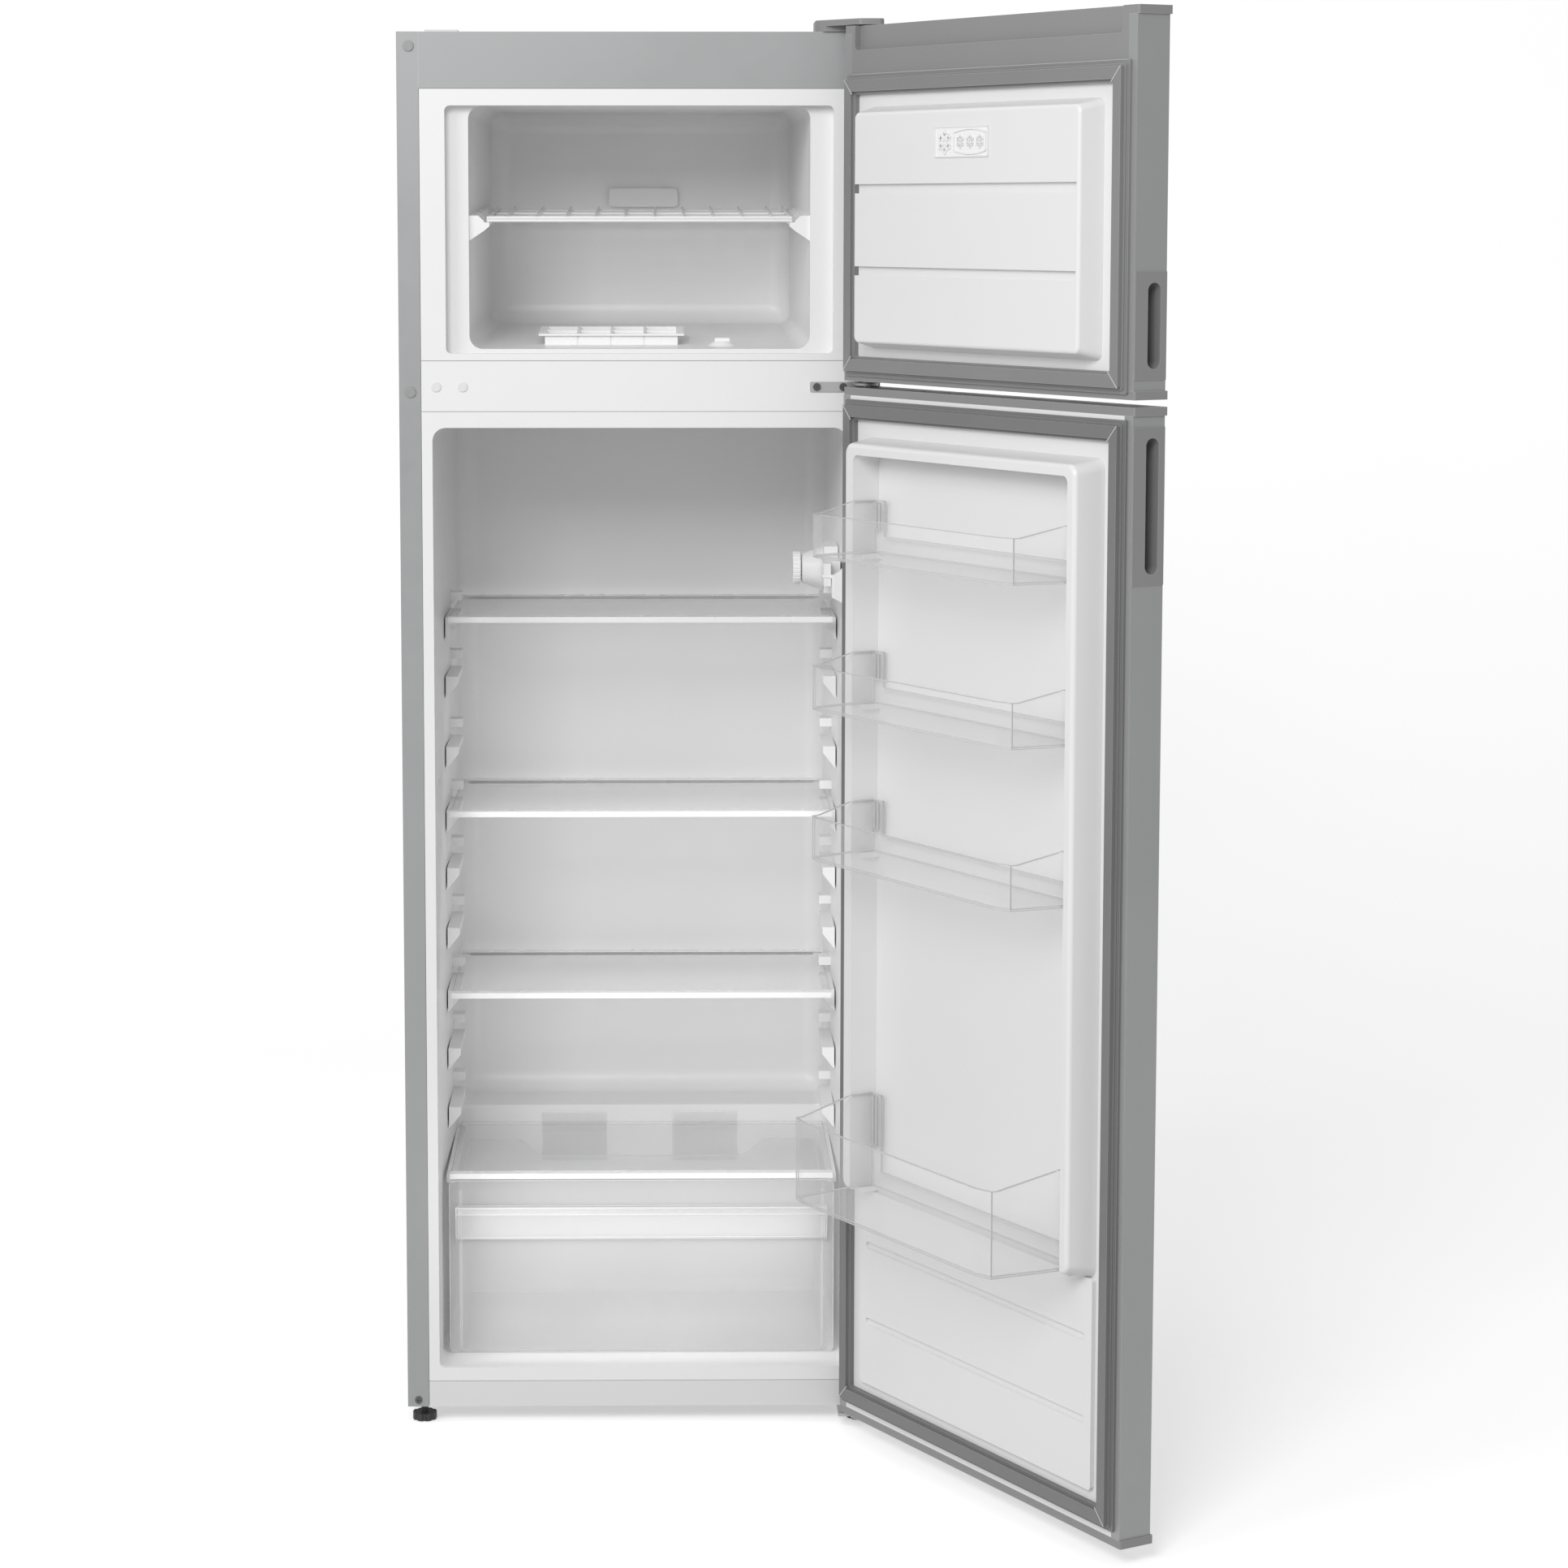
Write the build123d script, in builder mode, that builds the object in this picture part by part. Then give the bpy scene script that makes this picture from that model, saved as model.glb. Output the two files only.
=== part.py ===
"""Top freezer refrigerator, free-standing, both doors open.

Millimetres. +Z is up, the front faces -Y, and +X is to the right of someone who stands in front.
The origin is on the floor, under the middle of the cabinet's front plane, which is y = 0.
The doors are modelled closed, then turned about their common hinge axis to where they rest.
"""

from build123d import *
import math
import os

os.makedirs("parts", exist_ok=True)

# Cabinet
width = 540
cabinet_depth = 470
cabinet_bottom = 19
cabinet_top = 1590
sheet = 1
bend = 0.8
flange = 24.5
rear_flange = 12
seam = 0.5
half = width / 2
face_half = half - flange

# Levels of the front, from the top down
freezer_face_top = cabinet_top - 62.5
rail_top = 1225.2
rail_bottom = 1167.8
kick_top = 49.5

# Liners
liner_wall = 2
freezer_side_foam = 78.6
fridge_side_foam = 37
freezer_draft = 11.4
fridge_draft = 8
freezer_half = half - freezer_side_foam
freezer_half_back = freezer_half - freezer_draft
freezer_low = rail_top + 12.5
freezer_high = freezer_face_top - 18.9
freezer_rise = 19
freezer_back = cabinet_depth - 90
step_half = half - 53
step_low = rail_top + 7.8
step_depth = 16
fridge_half = half - fridge_side_foam
fridge_half_back = fridge_half - fridge_draft
fridge_low = kick_top + 15.7
fridge_high = rail_bottom - 18
fridge_back = cabinet_depth - 55
cavity_corner = 15
drawer_corner = 7
back_corner = 24

# Machine room, and the hump in the liner in front of it
machine_front = cabinet_depth - 108
machine_roof = 262
base_thick = 1.5
base_back = cabinet_depth + 38
hump_front = machine_front - 37
hump_top = machine_roof + 36

# Doors
door_gap = 12
door_thick = 40
door_margin = 1
door_width = width - 2 * door_margin
door_half = door_width / 2
door_angle = 119.6
hinge_inset = 16
hinge_x = door_half - hinge_inset
hinge_y = -(door_gap + door_thick / 2)
inner_y = -door_gap
outer_y = -(door_gap + door_thick)
pin_radius = 4
running = 0.05
liner_skin = 1.5
gasket_inset = 8
gasket_width = 22
gasket_proud = 10

# Shelves and drawer in the fresh food compartment
glass_margin = 11
glass_half = fridge_half - glass_margin
lug_front = 152
lug_rear = 262
lug_reach = 16
glass_thick = 4
shelf_front = 117
shelf_back = fridge_back - 35
trim_height = 6.5
trim_depth = 14
shelf_tops = (924, 696, 481)
cover_top = 279
cover_front = 58
cover_back = hump_front - 7
lug_height = 26
spare_seats = (850, 767, 623, 551.5, 407, 336)

# Door bins: (underside, front height, height at the door, reach from the door's inner plane)
bins = ((1017, 48, 59, 98), (850, 48, 59, 98), (684, 48, 59, 98), (304, 92, 107, 118))
bin_wall = 2.5
bin_ends = (75, door_width - 65)
bin_back = 6
dike_inner = (73, door_width - 63)
dike_reach = 34

hinge_axis = Axis((hinge_x, hinge_y, 0), (0, 0, 1))


def block(low, high, mode=Mode.ADD):
    """A box between two opposite corners, in whichever order they are given."""
    corner = [min(a, b) for a, b in zip(low, high)]
    size = [abs(b - a) for a, b in zip(low, high)]
    with Locations(tuple(corner)):
        Box(*size, align=(Align.MIN, Align.MIN, Align.MIN), mode=mode)


def upright(x, y, low, high, radius, mode=Mode.ADD):
    """A vertical cylinder from one height to another."""
    with Locations((x, y, low)):
        Cylinder(radius, high - low, align=(Align.CENTER, Align.CENTER, Align.MIN), mode=mode)


def slab(x0, x1, z0, z1, y0, y1, corner, mode=Mode.ADD):
    """A plate that faces the front, with rounded corners, from y0 back to y1."""
    with BuildSketch(Plane.XZ.offset(-y1)) as outline:
        with Locations(((x0 + x1) / 2, (z0 + z1) / 2)):
            RectangleRounded(abs(x1 - x0), abs(z1 - z0), corner)
    extrude(outline.sketch, amount=y1 - y0, mode=mode)


def room(front, back, y0, y1, low, high, corner, far_corner, rise=0):
    """A compartment's space, narrower at the back, with rounded corners and a floor that can rise."""
    with BuildPart() as space:
        with BuildSketch(Plane.XY.offset(low)):
            with BuildLine():
                Polyline((-front, y0), (front, y0), (back, y1), (-back, y1), close=True)
            make_face()
        extrude(amount=high - low)
        if rise:
            with BuildSketch(Plane.YZ.offset(-front)):
                with BuildLine():
                    Polyline((y0, low), (y1, low), (y1, low + rise), close=True)
                make_face()
            extrude(amount=2 * front, mode=Mode.SUBTRACT)
        far_face = space.faces().sort_by(Axis.Y)[-1]
        near_face = space.faces().sort_by(Axis.Y)[0]
        far_edges = far_face.edges()
        rims = far_edges + near_face.edges()
        long_edges = space.edges().filter_by(lambda edge: edge not in rims)
        fillet(long_edges, corner)
        fillet(space.faces().sort_by(Axis.Y)[-1].edges(), far_corner)
    return space.part


def opened(part):
    """A door's piece, turned from closed to where the door rests."""
    return part.rotate(hinge_axis, door_angle)


def door_x(inward):
    """The place across a closed door that lies this far in from its hinge edge."""
    return door_half - inward


def fridge_wall(y):
    """Half the width between the fresh food compartment's side walls at this depth."""
    return fridge_half - (fridge_half - fridge_half_back) * y / fridge_back


# Spaces of the two compartments, and the same grown by the liner's wall
freezer_space = room(
    freezer_half, freezer_half_back, step_depth, freezer_back, freezer_low, freezer_high,
    cavity_corner, back_corner, freezer_rise,
)
freezer_outside = room(
    freezer_half + liner_wall, freezer_half_back + liner_wall, step_depth, freezer_back + liner_wall,
    freezer_low - liner_wall, freezer_high + liner_wall,
    cavity_corner + liner_wall, back_corner + liner_wall, freezer_rise,
)
fridge_space = room(
    fridge_half, fridge_half_back, 0, fridge_back, hump_top, fridge_high, cavity_corner, back_corner
)
fridge_outside = room(
    fridge_half + liner_wall, fridge_half_back + liner_wall, 0, fridge_back + liner_wall,
    hump_top - liner_wall, fridge_high + liner_wall, cavity_corner + liner_wall, back_corner + liner_wall,
)
drawer_top = hump_top + 2 * cavity_corner
drawer_space = room(
    fridge_half, fridge_wall(hump_front), 0, hump_front, fridge_low, drawer_top, drawer_corner, cavity_corner
)
drawer_outside = room(
    fridge_half + liner_wall, fridge_wall(hump_front) + liner_wall, 0, hump_front + liner_wall,
    fridge_low - liner_wall, drawer_top, drawer_corner, cavity_corner,
)

# The painted steel wrap: both sides and the top, with a front return and a rear return
with BuildPart() as cabinet_wrap:
    with BuildSketch(Plane.XY.offset(cabinet_bottom)):
        with Locations((0, cabinet_depth / 2)):
            RectangleRounded(width, cabinet_depth, bend)
            Rectangle(width - 2 * sheet, cabinet_depth - 2 * sheet, mode=Mode.SUBTRACT)
        Rectangle(2 * face_half, 4 * sheet, mode=Mode.SUBTRACT)
        with Locations((0, cabinet_depth)):
            Rectangle(width - 2 * rear_flange, 4 * sheet, mode=Mode.SUBTRACT)
    extrude(amount=cabinet_top - cabinet_bottom)
    block(
        (-half + sheet / 2, sheet, cabinet_top - sheet),
        (half - sheet / 2, cabinet_depth - sheet / 2, cabinet_top),
    )
cabinet_wrap.part.label = "cabinet_wrap"
export_step(cabinet_wrap.part, "parts/cabinet_wrap.step")

# The painted strip across the front, above the freezer
with BuildPart() as top_front_rail:
    block((-face_half, 0, freezer_face_top), (face_half, sheet, cabinet_top - 0.2))
    block((-face_half, sheet, freezer_face_top), (face_half, 12, freezer_face_top + sheet))
top_front_rail.part.label = "top_front_rail"
export_step(top_front_rail.part, "parts/top_front_rail.step")

# The freezer shelf's level
shelf_z = freezer_low + 144.8

# The freezer's liner: a white surround, a shallow step and the compartment itself
with BuildPart() as freezer_liner:
    block((-face_half + seam, 0, rail_top), (face_half - seam, liner_wall, freezer_face_top - seam))
    slab(
        -step_half - liner_wall, step_half + liner_wall, step_low - liner_wall, freezer_high + liner_wall,
        0, step_depth + liner_wall, 8,
    )
    add(freezer_outside)
    slab(-step_half, step_half, step_low, freezer_high, 0, step_depth, 6, Mode.SUBTRACT)
    add(freezer_space, mode=Mode.SUBTRACT)
    # A raised pad on the back wall behind the shelf
    slab(-38, 45, shelf_z + 14.5, shelf_z + 36.5, freezer_back - 9, freezer_back, 5)
freezer_liner.part.label = "freezer_liner"
export_step(freezer_liner.part, "parts/freezer_liner.step")

# Heights at which a shelf can rest, its lugs' inner edge, and the small stop above each shelf
seats = [top - glass_thick - 0.5 for top in shelf_tops] + list(spare_seats)
lug_inner = fridge_wall(lug_front) - lug_reach
stop_gap = 6
stop_height = 10
ledge_root = fridge_wall(hump_front) + 0.5

# The fresh food liner, with its shelf lugs, the ledges under the drawer's cover and a smooth hump
with BuildPart() as fridge_liner:
    block((-face_half + seam, 0, kick_top), (face_half - seam, liner_wall, rail_bottom))
    add(fridge_outside)
    add(drawer_outside)
    add(fridge_space, mode=Mode.SUBTRACT)
    add(drawer_space, mode=Mode.SUBTRACT)
    for side in (-1, 1):
        wall = fridge_wall(lug_rear) + 0.5
        with BuildSketch(Plane.XZ.offset(-lug_rear)):
            for seat in seats:
                with BuildLine():
                    Polyline(
                        (side * wall, seat), (side * lug_inner, seat), (side * lug_inner, seat - 8),
                        (side * wall, seat - lug_height), close=True,
                    )
                make_face()
        extrude(amount=lug_rear - lug_front)
        for seat in seats:
            low = seat + glass_thick + 0.5 + stop_gap
            block((side * lug_inner, lug_rear - 12, low), (side * wall, lug_rear + 10, low + stop_height))
        block(
            (side * (glass_half - 5), cover_front + 16, cover_top - glass_thick - 10.5),
            (side * ledge_root, hump_front - cavity_corner, cover_top - glass_thick - 0.5),
        )
fridge_liner.part.label = "fridge_liner"
export_step(fridge_liner.part, "parts/fridge_liner.step")

# The white rail between the compartments, and the strip below the lower one
with BuildPart() as middle_rail:
    block(
        (-face_half + seam, 0, rail_bottom + seam), (face_half - seam, liner_wall, rail_top - seam)
    )
middle_rail.part.label = "middle_rail"
export_step(middle_rail.part, "parts/middle_rail.step")

with BuildPart() as kick_strip:
    block((-face_half + seam, 0, cabinet_bottom), (face_half - seam, liner_wall, kick_top - seam))
    block(
        (-face_half + seam, liner_wall, kick_top - seam - 4), (face_half - seam, 14, kick_top - seam - 2)
    )
kick_strip.part.label = "kick_strip"
export_step(kick_strip.part, "parts/kick_strip.step")

# Foot and roller places
foot_x = half - 18.5
foot_y = 17
foot_pad = 13.8
foot_stem = 4
foot_high = 8.5
roller_x = half - 38
roller_y = base_back - 20
roller_radius = 12
roller_width = 12
axle_radius = 2.5

# The base plate, with the ears that carry the rear rollers and their axles
with BuildPart() as base_plate:
    block((-half + sheet, 3, cabinet_bottom), (half - sheet, base_back, cabinet_bottom + base_thick))
    block(
        (-half + sheet, base_back - base_thick, cabinet_bottom),
        (half - sheet, base_back, cabinet_bottom + 22),
    )
    block(
        (-half, cabinet_depth - rear_flange, cabinet_bottom - 1),
        (-half + sheet, base_back, 60), Mode.SUBTRACT,
    )
    for side in (-1, 1):
        upright(side * foot_x, foot_y, cabinet_bottom - 1, 40, foot_stem + running, Mode.SUBTRACT)
        block(
            (side * (half - sheet), cabinet_depth - sheet, cabinet_bottom),
            (side * (half - rear_flange - 0.2), cabinet_depth + 0.1, cabinet_bottom + base_thick),
            Mode.SUBTRACT,
        )
        block(
            (side * roller_x - 9, roller_y - 15, cabinet_bottom - 1),
            (side * roller_x + 9, roller_y + 15, cabinet_bottom + base_thick),
            Mode.SUBTRACT,
        )
        for ear in (-1, 1):
            block(
                (side * roller_x + ear * 9, roller_y - 6, roller_radius - 5),
                (side * roller_x + ear * 10.5, roller_y + 6, cabinet_bottom),
            )
            block(
                (side * roller_x + ear * 7.5, roller_y - 6, roller_radius - 5),
                (side * roller_x + ear * 9, roller_y + 6, cabinet_bottom + base_thick),
            )
        with Locations((side * roller_x, roller_y, roller_radius)):
            Cylinder(axle_radius, 20, rotation=(0, 90, 0))
base_plate.part.label = "base_plate"
export_step(base_plate.part, "parts/base_plate.step")

# The back sheet, turned in above the machine room and down in front of it
with BuildPart() as back_panel:
    block(
        (-half + rear_flange, cabinet_depth - sheet, machine_roof),
        (half - rear_flange, cabinet_depth, cabinet_top - sheet),
    )
    block(
        (-half + sheet, machine_front, machine_roof),
        (half - sheet, cabinet_depth - sheet, machine_roof + sheet),
    )
    block(
        (-half + sheet, machine_front - sheet, cabinet_bottom + base_thick),
        (half - sheet, machine_front, machine_roof + sheet),
    )
back_panel.part.label = "back_panel"
export_step(back_panel.part, "parts/back_panel.step")

# Foamed insulation, sealed between the wrap and the liners
with BuildPart() as cabinet_foam:
    block((-half + sheet, liner_wall, kick_top), (half - sheet, cabinet_depth - sheet, cabinet_top - sheet))
    block((-half + sheet, 15, cabinet_bottom + base_thick), (half - sheet, machine_front - sheet, kick_top))
    block(
        (-half, machine_front - sheet, 0), (half, cabinet_depth, machine_roof + sheet), Mode.SUBTRACT
    )
    block(
        (-face_half, liner_wall, freezer_face_top), (face_half, 12, freezer_face_top + sheet), Mode.SUBTRACT
    )
    slab(
        -step_half - liner_wall, step_half + liner_wall, step_low - liner_wall, freezer_high + liner_wall,
        0, step_depth + liner_wall, 8, Mode.SUBTRACT,
    )
    add(freezer_outside, mode=Mode.SUBTRACT)
    add(fridge_outside, mode=Mode.SUBTRACT)
    add(drawer_outside, mode=Mode.SUBTRACT)
    for side in (-1, 1):
        upright(side * foot_x, foot_y, cabinet_bottom, 52, foot_stem + 1, Mode.SUBTRACT)
cabinet_foam.part.label = "cabinet_foam"
export_step(cabinet_foam.part, "parts/cabinet_foam.step")

# Plugs and a small cover that close the fixing holes of the other door hand
screw_x = (half - 71.2, half - 41.6)
screw_z = 1195.6
with BuildPart() as blank_plugs:
    with Locations(*[(-x, 0, screw_z) for x in screw_x]):
        Cylinder(5.6, 1.4, rotation=(90, 0, 0), align=(Align.CENTER, Align.CENTER, Align.MIN))
    with Locations((13 - half, 0, screw_z - 6), (13.5 - half, 0, cabinet_top - 16)):
        Cylinder(6, 2, rotation=(90, 0, 0), align=(Align.CENTER, Align.CENTER, Align.MIN))
    rims = blank_plugs.edges().filter_by(GeomType.CIRCLE).filter_by(lambda edge: edge.center().Y < -1)
    fillet(rims, 0.8)
    with BuildSketch(Plane.YZ.offset(31 - half)):
        with BuildLine():
            Polyline(
                (6, cabinet_top), (60, cabinet_top), (58, cabinet_top + 2.4),
                (8, cabinet_top + 2.4), close=True,
            )
        make_face()
    extrude(amount=37)
blank_plugs.part.label = "blank_plugs"
export_step(blank_plugs.part, "parts/blank_plugs.step")

# Hinges. The three share one vertical axis in front of the cabinet's right edge
fridge_door_top = 1197
freezer_door_bottom = fridge_door_top + 7.2
freezer_door_top = cabinet_top + 4.5
fridge_door_bottom = 21
arm_half = 13
arm_low = fridge_door_top + 1.8
arm_thick = 2.5
pin_length = 12
cover_height = 12.6
arm_top = cabinet_top + cover_height - 2.6

with BuildPart() as top_hinge:
    block((hinge_x - 49, 6, cabinet_top), (hinge_x + arm_half, 56, cabinet_top + 3))
    block((hinge_x - arm_half, 6, cabinet_top + 3), (hinge_x + arm_half, 9, arm_top))
    block((hinge_x - arm_half, hinge_y, arm_top - 3), (hinge_x + arm_half, 9, arm_top))
    upright(hinge_x, hinge_y, arm_top - 3, arm_top, arm_half)
    upright(hinge_x, hinge_y, freezer_door_top - pin_length, arm_top, pin_radius)
    plate_top = cabinet_top + 3
    bolts = [(hinge_x - 37, 20, plate_top), (hinge_x - 37, 44, plate_top), (hinge_x - 9, 40, plate_top)]
    with Locations(*bolts):
        Cylinder(5, 3.4, align=(Align.CENTER, Align.CENTER, Align.MIN))
top_hinge.part.label = "top_hinge"
export_step(top_hinge.part, "parts/top_hinge.step")

# The hinge's cover: a cap with a slanting nose over the door's top, open below for the arm
cover_wall = 2
cover_left = hinge_x - 57
cover_right = hinge_x + 17
cover_rear = 62
nose_y = hinge_y - 15
nose_under = freezer_door_top + 1.4
skirt_y = -4
arm_room = 0.4
with BuildPart() as top_hinge_cover:
    with BuildSketch(Plane.XY.offset(cabinet_top)):
        with BuildLine():
            Polyline(
                (cover_left, 8), (cover_left, cover_rear), (cover_right, cover_rear),
                (cover_right, nose_y), (hinge_x - 10, nose_y), close=True,
            )
        make_face()
    extrude(amount=cover_height)
    fillet(top_hinge_cover.edges().filter_by(Axis.Z), 5)
    fillet(top_hinge_cover.faces().sort_by(Axis.Z)[-1].edges(), 1.5)
    with BuildSketch(Plane.XY.offset(cabinet_top)):
        with BuildLine():
            Polyline(
                (cover_left + cover_wall, 9), (cover_left + cover_wall, cover_rear - cover_wall),
                (cover_right - cover_wall, cover_rear - cover_wall),
                (cover_right - cover_wall, skirt_y + cover_wall),
                (cover_left + 10.5, skirt_y + cover_wall), close=True,
            )
        make_face()
    extrude(amount=cover_height - cover_wall, mode=Mode.SUBTRACT)
    block(
        (cover_left - 9, nose_y - 9, cabinet_top - 1), (cover_right + 9, skirt_y, nose_under), Mode.SUBTRACT
    )
    arm_space = arm_half + arm_room
    block(
        (hinge_x - arm_space, hinge_y, nose_under - 1), (hinge_x + arm_space, 0, arm_top + arm_room),
        Mode.SUBTRACT,
    )
    upright(hinge_x, hinge_y, nose_under - 1, arm_top + arm_room, arm_space, Mode.SUBTRACT)
top_hinge_cover.part.label = "top_hinge_cover"
export_step(top_hinge_cover.part, "parts/top_hinge_cover.step")

with BuildPart() as middle_hinge:
    slab(screw_x[0] - 7.8, hinge_x + arm_half, screw_z - 5.5, arm_low + arm_thick, -2.2, 0, 1.5)
    block((hinge_x - arm_half, hinge_y, arm_low), (hinge_x + arm_half, 0, arm_low + arm_thick))
    upright(hinge_x, hinge_y, arm_low, arm_low + arm_thick, arm_half)
    upright(hinge_x, hinge_y, fridge_door_top - pin_length, freezer_door_bottom + pin_length, pin_radius)
    with Locations(*[(x, 0, screw_z) for x in screw_x]):
        Cylinder(2.5, 6, rotation=(90, 0, 0), mode=Mode.SUBTRACT)
middle_hinge.part.label = "middle_hinge"
export_step(middle_hinge.part, "parts/middle_hinge.step")

# The lowest hinge is a plate under the base plate, with a pin up into the door and a hole for the foot
with BuildPart() as bottom_hinge:
    block((hinge_x - 27, hinge_y, cabinet_bottom - 3.5), (half - 2, 70, cabinet_bottom))
    upright(hinge_x, hinge_y, cabinet_bottom - 3.5, cabinet_bottom, arm_half)
    upright(hinge_x, hinge_y, cabinet_bottom - 3.5, fridge_door_bottom + pin_length, pin_radius)
    upright(foot_x, foot_y, 0, cabinet_bottom + 1, foot_stem + 1, Mode.SUBTRACT)
bottom_hinge.part.label = "bottom_hinge"
export_step(bottom_hinge.part, "parts/bottom_hinge.step")


def cross_screw(x, y, z, radius, proud):
    """A round-headed screw that faces the front, with a cross recess."""
    with Locations((x, y, z)):
        Cylinder(radius, proud, rotation=(90, 0, 0), align=(Align.CENTER, Align.CENTER, Align.MIN))
    for length, height in ((radius * 1.2, 1.1), (1.1, radius * 1.2)):
        block(
            (x - length / 2, y - proud - 0.1, z - height / 2),
            (x + length / 2, y - proud + 1, z + height / 2),
            Mode.SUBTRACT,
        )


with BuildPart() as front_screws:
    for x in screw_x:
        cross_screw(x, -2.2, screw_z, 4.4, 1.8)
    cross_screw(12.5 - half, 0, cabinet_bottom + 8, 4.2, 1.8)
front_screws.part.label = "front_screws"
export_step(front_screws.part, "parts/front_screws.step")

# Freezer furniture. The shelf and its rails lean back as much as the tilt below
shelf_tilt = 2.2
rail_inner = freezer_half - 16.9
rail_root = freezer_half + 8.6
rail_depth = freezer_back - 40
tilt_axis = Axis((0, step_depth, shelf_z), (1, 0, 0))
with BuildPart() as freezer_shelf_rails:
    for side in (-1, 1):
        with BuildSketch(Plane.XZ.offset(-rail_depth)):
            with BuildLine():
                Polyline(
                    (side * rail_root, shelf_z + 4), (side * (rail_inner + 6.5), shelf_z + 4),
                    (side * rail_inner, shelf_z - 2),
                    (side * rail_inner, shelf_z - 3.5), (side * (rail_inner - 6), shelf_z - 3.5),
                    (side * (rail_inner - 6), shelf_z - 8), (side * rail_inner, shelf_z - 13),
                    (side * (rail_inner + 16.5), shelf_z - 24), (side * rail_root, shelf_z - 24), close=True,
                )
            make_face()
        extrude(amount=rail_depth - step_depth - 4)
    freezer_shelf_rails.part = freezer_shelf_rails.part.rotate(tilt_axis, shelf_tilt)
    add(freezer_space, mode=Mode.INTERSECT)
freezer_shelf_rails.part.label = "freezer_shelf_rails"
export_step(freezer_shelf_rails.part, "parts/freezer_shelf_rails.step")

wire = 1.7
shelf_end = rail_inner - 3
shelf_length = freezer_back - 75
cross_pitch = 33.4
with BuildPart() as freezer_shelf:
    for z in (shelf_z - wire, shelf_z + wire - 0.2):
        with Locations((0, step_depth + 8, z)):
            Cylinder(wire, 2 * shelf_end, rotation=(0, 90, 0))
    for y in (125, 225, shelf_length + 13):
        with Locations((0, y, shelf_z - wire)):
            Cylinder(wire, 2 * shelf_end, rotation=(0, 90, 0))
    crossing_count = int(2 * shelf_end / cross_pitch)
    crossings = [cross_pitch * (n - (crossing_count - 1) / 2) for n in range(crossing_count)]
    for x in crossings + [-shelf_end + wire, shelf_end - wire]:
        with Locations((x, step_depth + 6, shelf_z + wire - 0.3)):
            Cylinder(
                wire * 0.85, shelf_length, rotation=(-90, 0, 0),
                align=(Align.CENTER, Align.CENTER, Align.MIN),
            )
    freezer_shelf.part = freezer_shelf.part.rotate(tilt_axis, shelf_tilt)
freezer_shelf.part.label = "freezer_shelf"
export_step(freezer_shelf.part, "parts/freezer_shelf.step")

# The ice tray and the drain's cover stand on the sloping floor
floor_slope = math.degrees(math.atan(freezer_rise / (freezer_back - step_depth)))
floor_axis = Axis((0, step_depth, freezer_low), (1, 0, 0))
tray_x = (-115, 50)
tray_y = (62, 170)
tray_height = 13
with BuildPart() as ice_tray:
    block(
        (tray_x[0] + 7, tray_y[0] + 4, freezer_low + 0.1),
        (tray_x[1] - 7, tray_y[1] - 4, freezer_low + tray_height),
    )
    block(
        (tray_x[0], tray_y[0], freezer_low + tray_height - 2),
        (tray_x[1], tray_y[1], freezer_low + tray_height),
    )
    cell = (tray_x[1] - tray_x[0] - 14) / 4
    for n in range(4):
        for y in (tray_y[0] + 6, (tray_y[0] + tray_y[1]) / 2 + 1):
            x = tray_x[0] + 7 + n * cell
            block(
                (x + 1.5, y, freezer_low + 2),
                (x + cell - 1.5, y + 46, freezer_low + tray_height + 1), Mode.SUBTRACT,
            )
    for n in (1, 2, 3):
        x = tray_x[0] + 7 + n * cell
        block(
            (x - 1, tray_y[0] + 3, freezer_low),
            (x + 1, tray_y[0] + 5.2, freezer_low + tray_height - 2), Mode.SUBTRACT,
        )
    ice_tray.part = ice_tray.part.rotate(floor_axis, floor_slope)
ice_tray.part.label = "ice_tray"
export_step(ice_tray.part, "parts/ice_tray.step")

with BuildPart() as drain_plug:
    with Locations((93.5, 62, freezer_low)):
        Cone(16, 8, 5, align=(Align.CENTER, Align.CENTER, Align.MIN))
        Box(17, 5, 8.5, align=(Align.CENTER, Align.CENTER, Align.MIN))
    drain_plug.part = drain_plug.part.rotate(floor_axis, floor_slope)
drain_plug.part.label = "drain_plug"
export_step(drain_plug.part, "parts/drain_plug.step")

# Glass shelves, each in a white front and rear trim
for number, top in enumerate(shelf_tops, start=1):
    with BuildPart() as shelf_trim:
        for y in (shelf_front - 2, shelf_back - trim_depth + 2):
            block((-glass_half - 1, y, top - trim_height), (glass_half + 1, y + trim_depth, top))
        block(
            (-glass_half, shelf_front, top - glass_thick - 0.5), (glass_half, shelf_back, top - 0.5),
            Mode.SUBTRACT,
        )
        for side in (-1, 1):
            block(
                (side * (lug_inner - 2), shelf_back - 40, top - trim_height - 1),
                (side * half, shelf_back + 20, top - glass_thick - 0.4), Mode.SUBTRACT,
            )
    shelf_trim.part.label = f"shelf_{number}_trim"
    export_step(shelf_trim.part, f"parts/shelf_{number}_trim.step")
    with BuildPart() as shelf_glass:
        block((-glass_half, shelf_front, top - glass_thick - 0.5), (glass_half, shelf_back, top - 0.5))
    shelf_glass.part.label = f"shelf_{number}_glass"
    export_step(shelf_glass.part, f"parts/shelf_{number}_glass.step")

# The glass cover over the drawer, with its front trim
with BuildPart() as cover_trim:
    block(
        (-glass_half - 1, cover_front, cover_top - trim_height),
        (glass_half + 1, cover_front + trim_depth, cover_top),
    )
    block(
        (-glass_half, cover_front + 2, cover_top - glass_thick - 0.5),
        (glass_half, cover_back, cover_top - 0.5),
        Mode.SUBTRACT,
    )
cover_trim.part.label = "crisper_cover_trim"
export_step(cover_trim.part, "parts/crisper_cover_trim.step")

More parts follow.
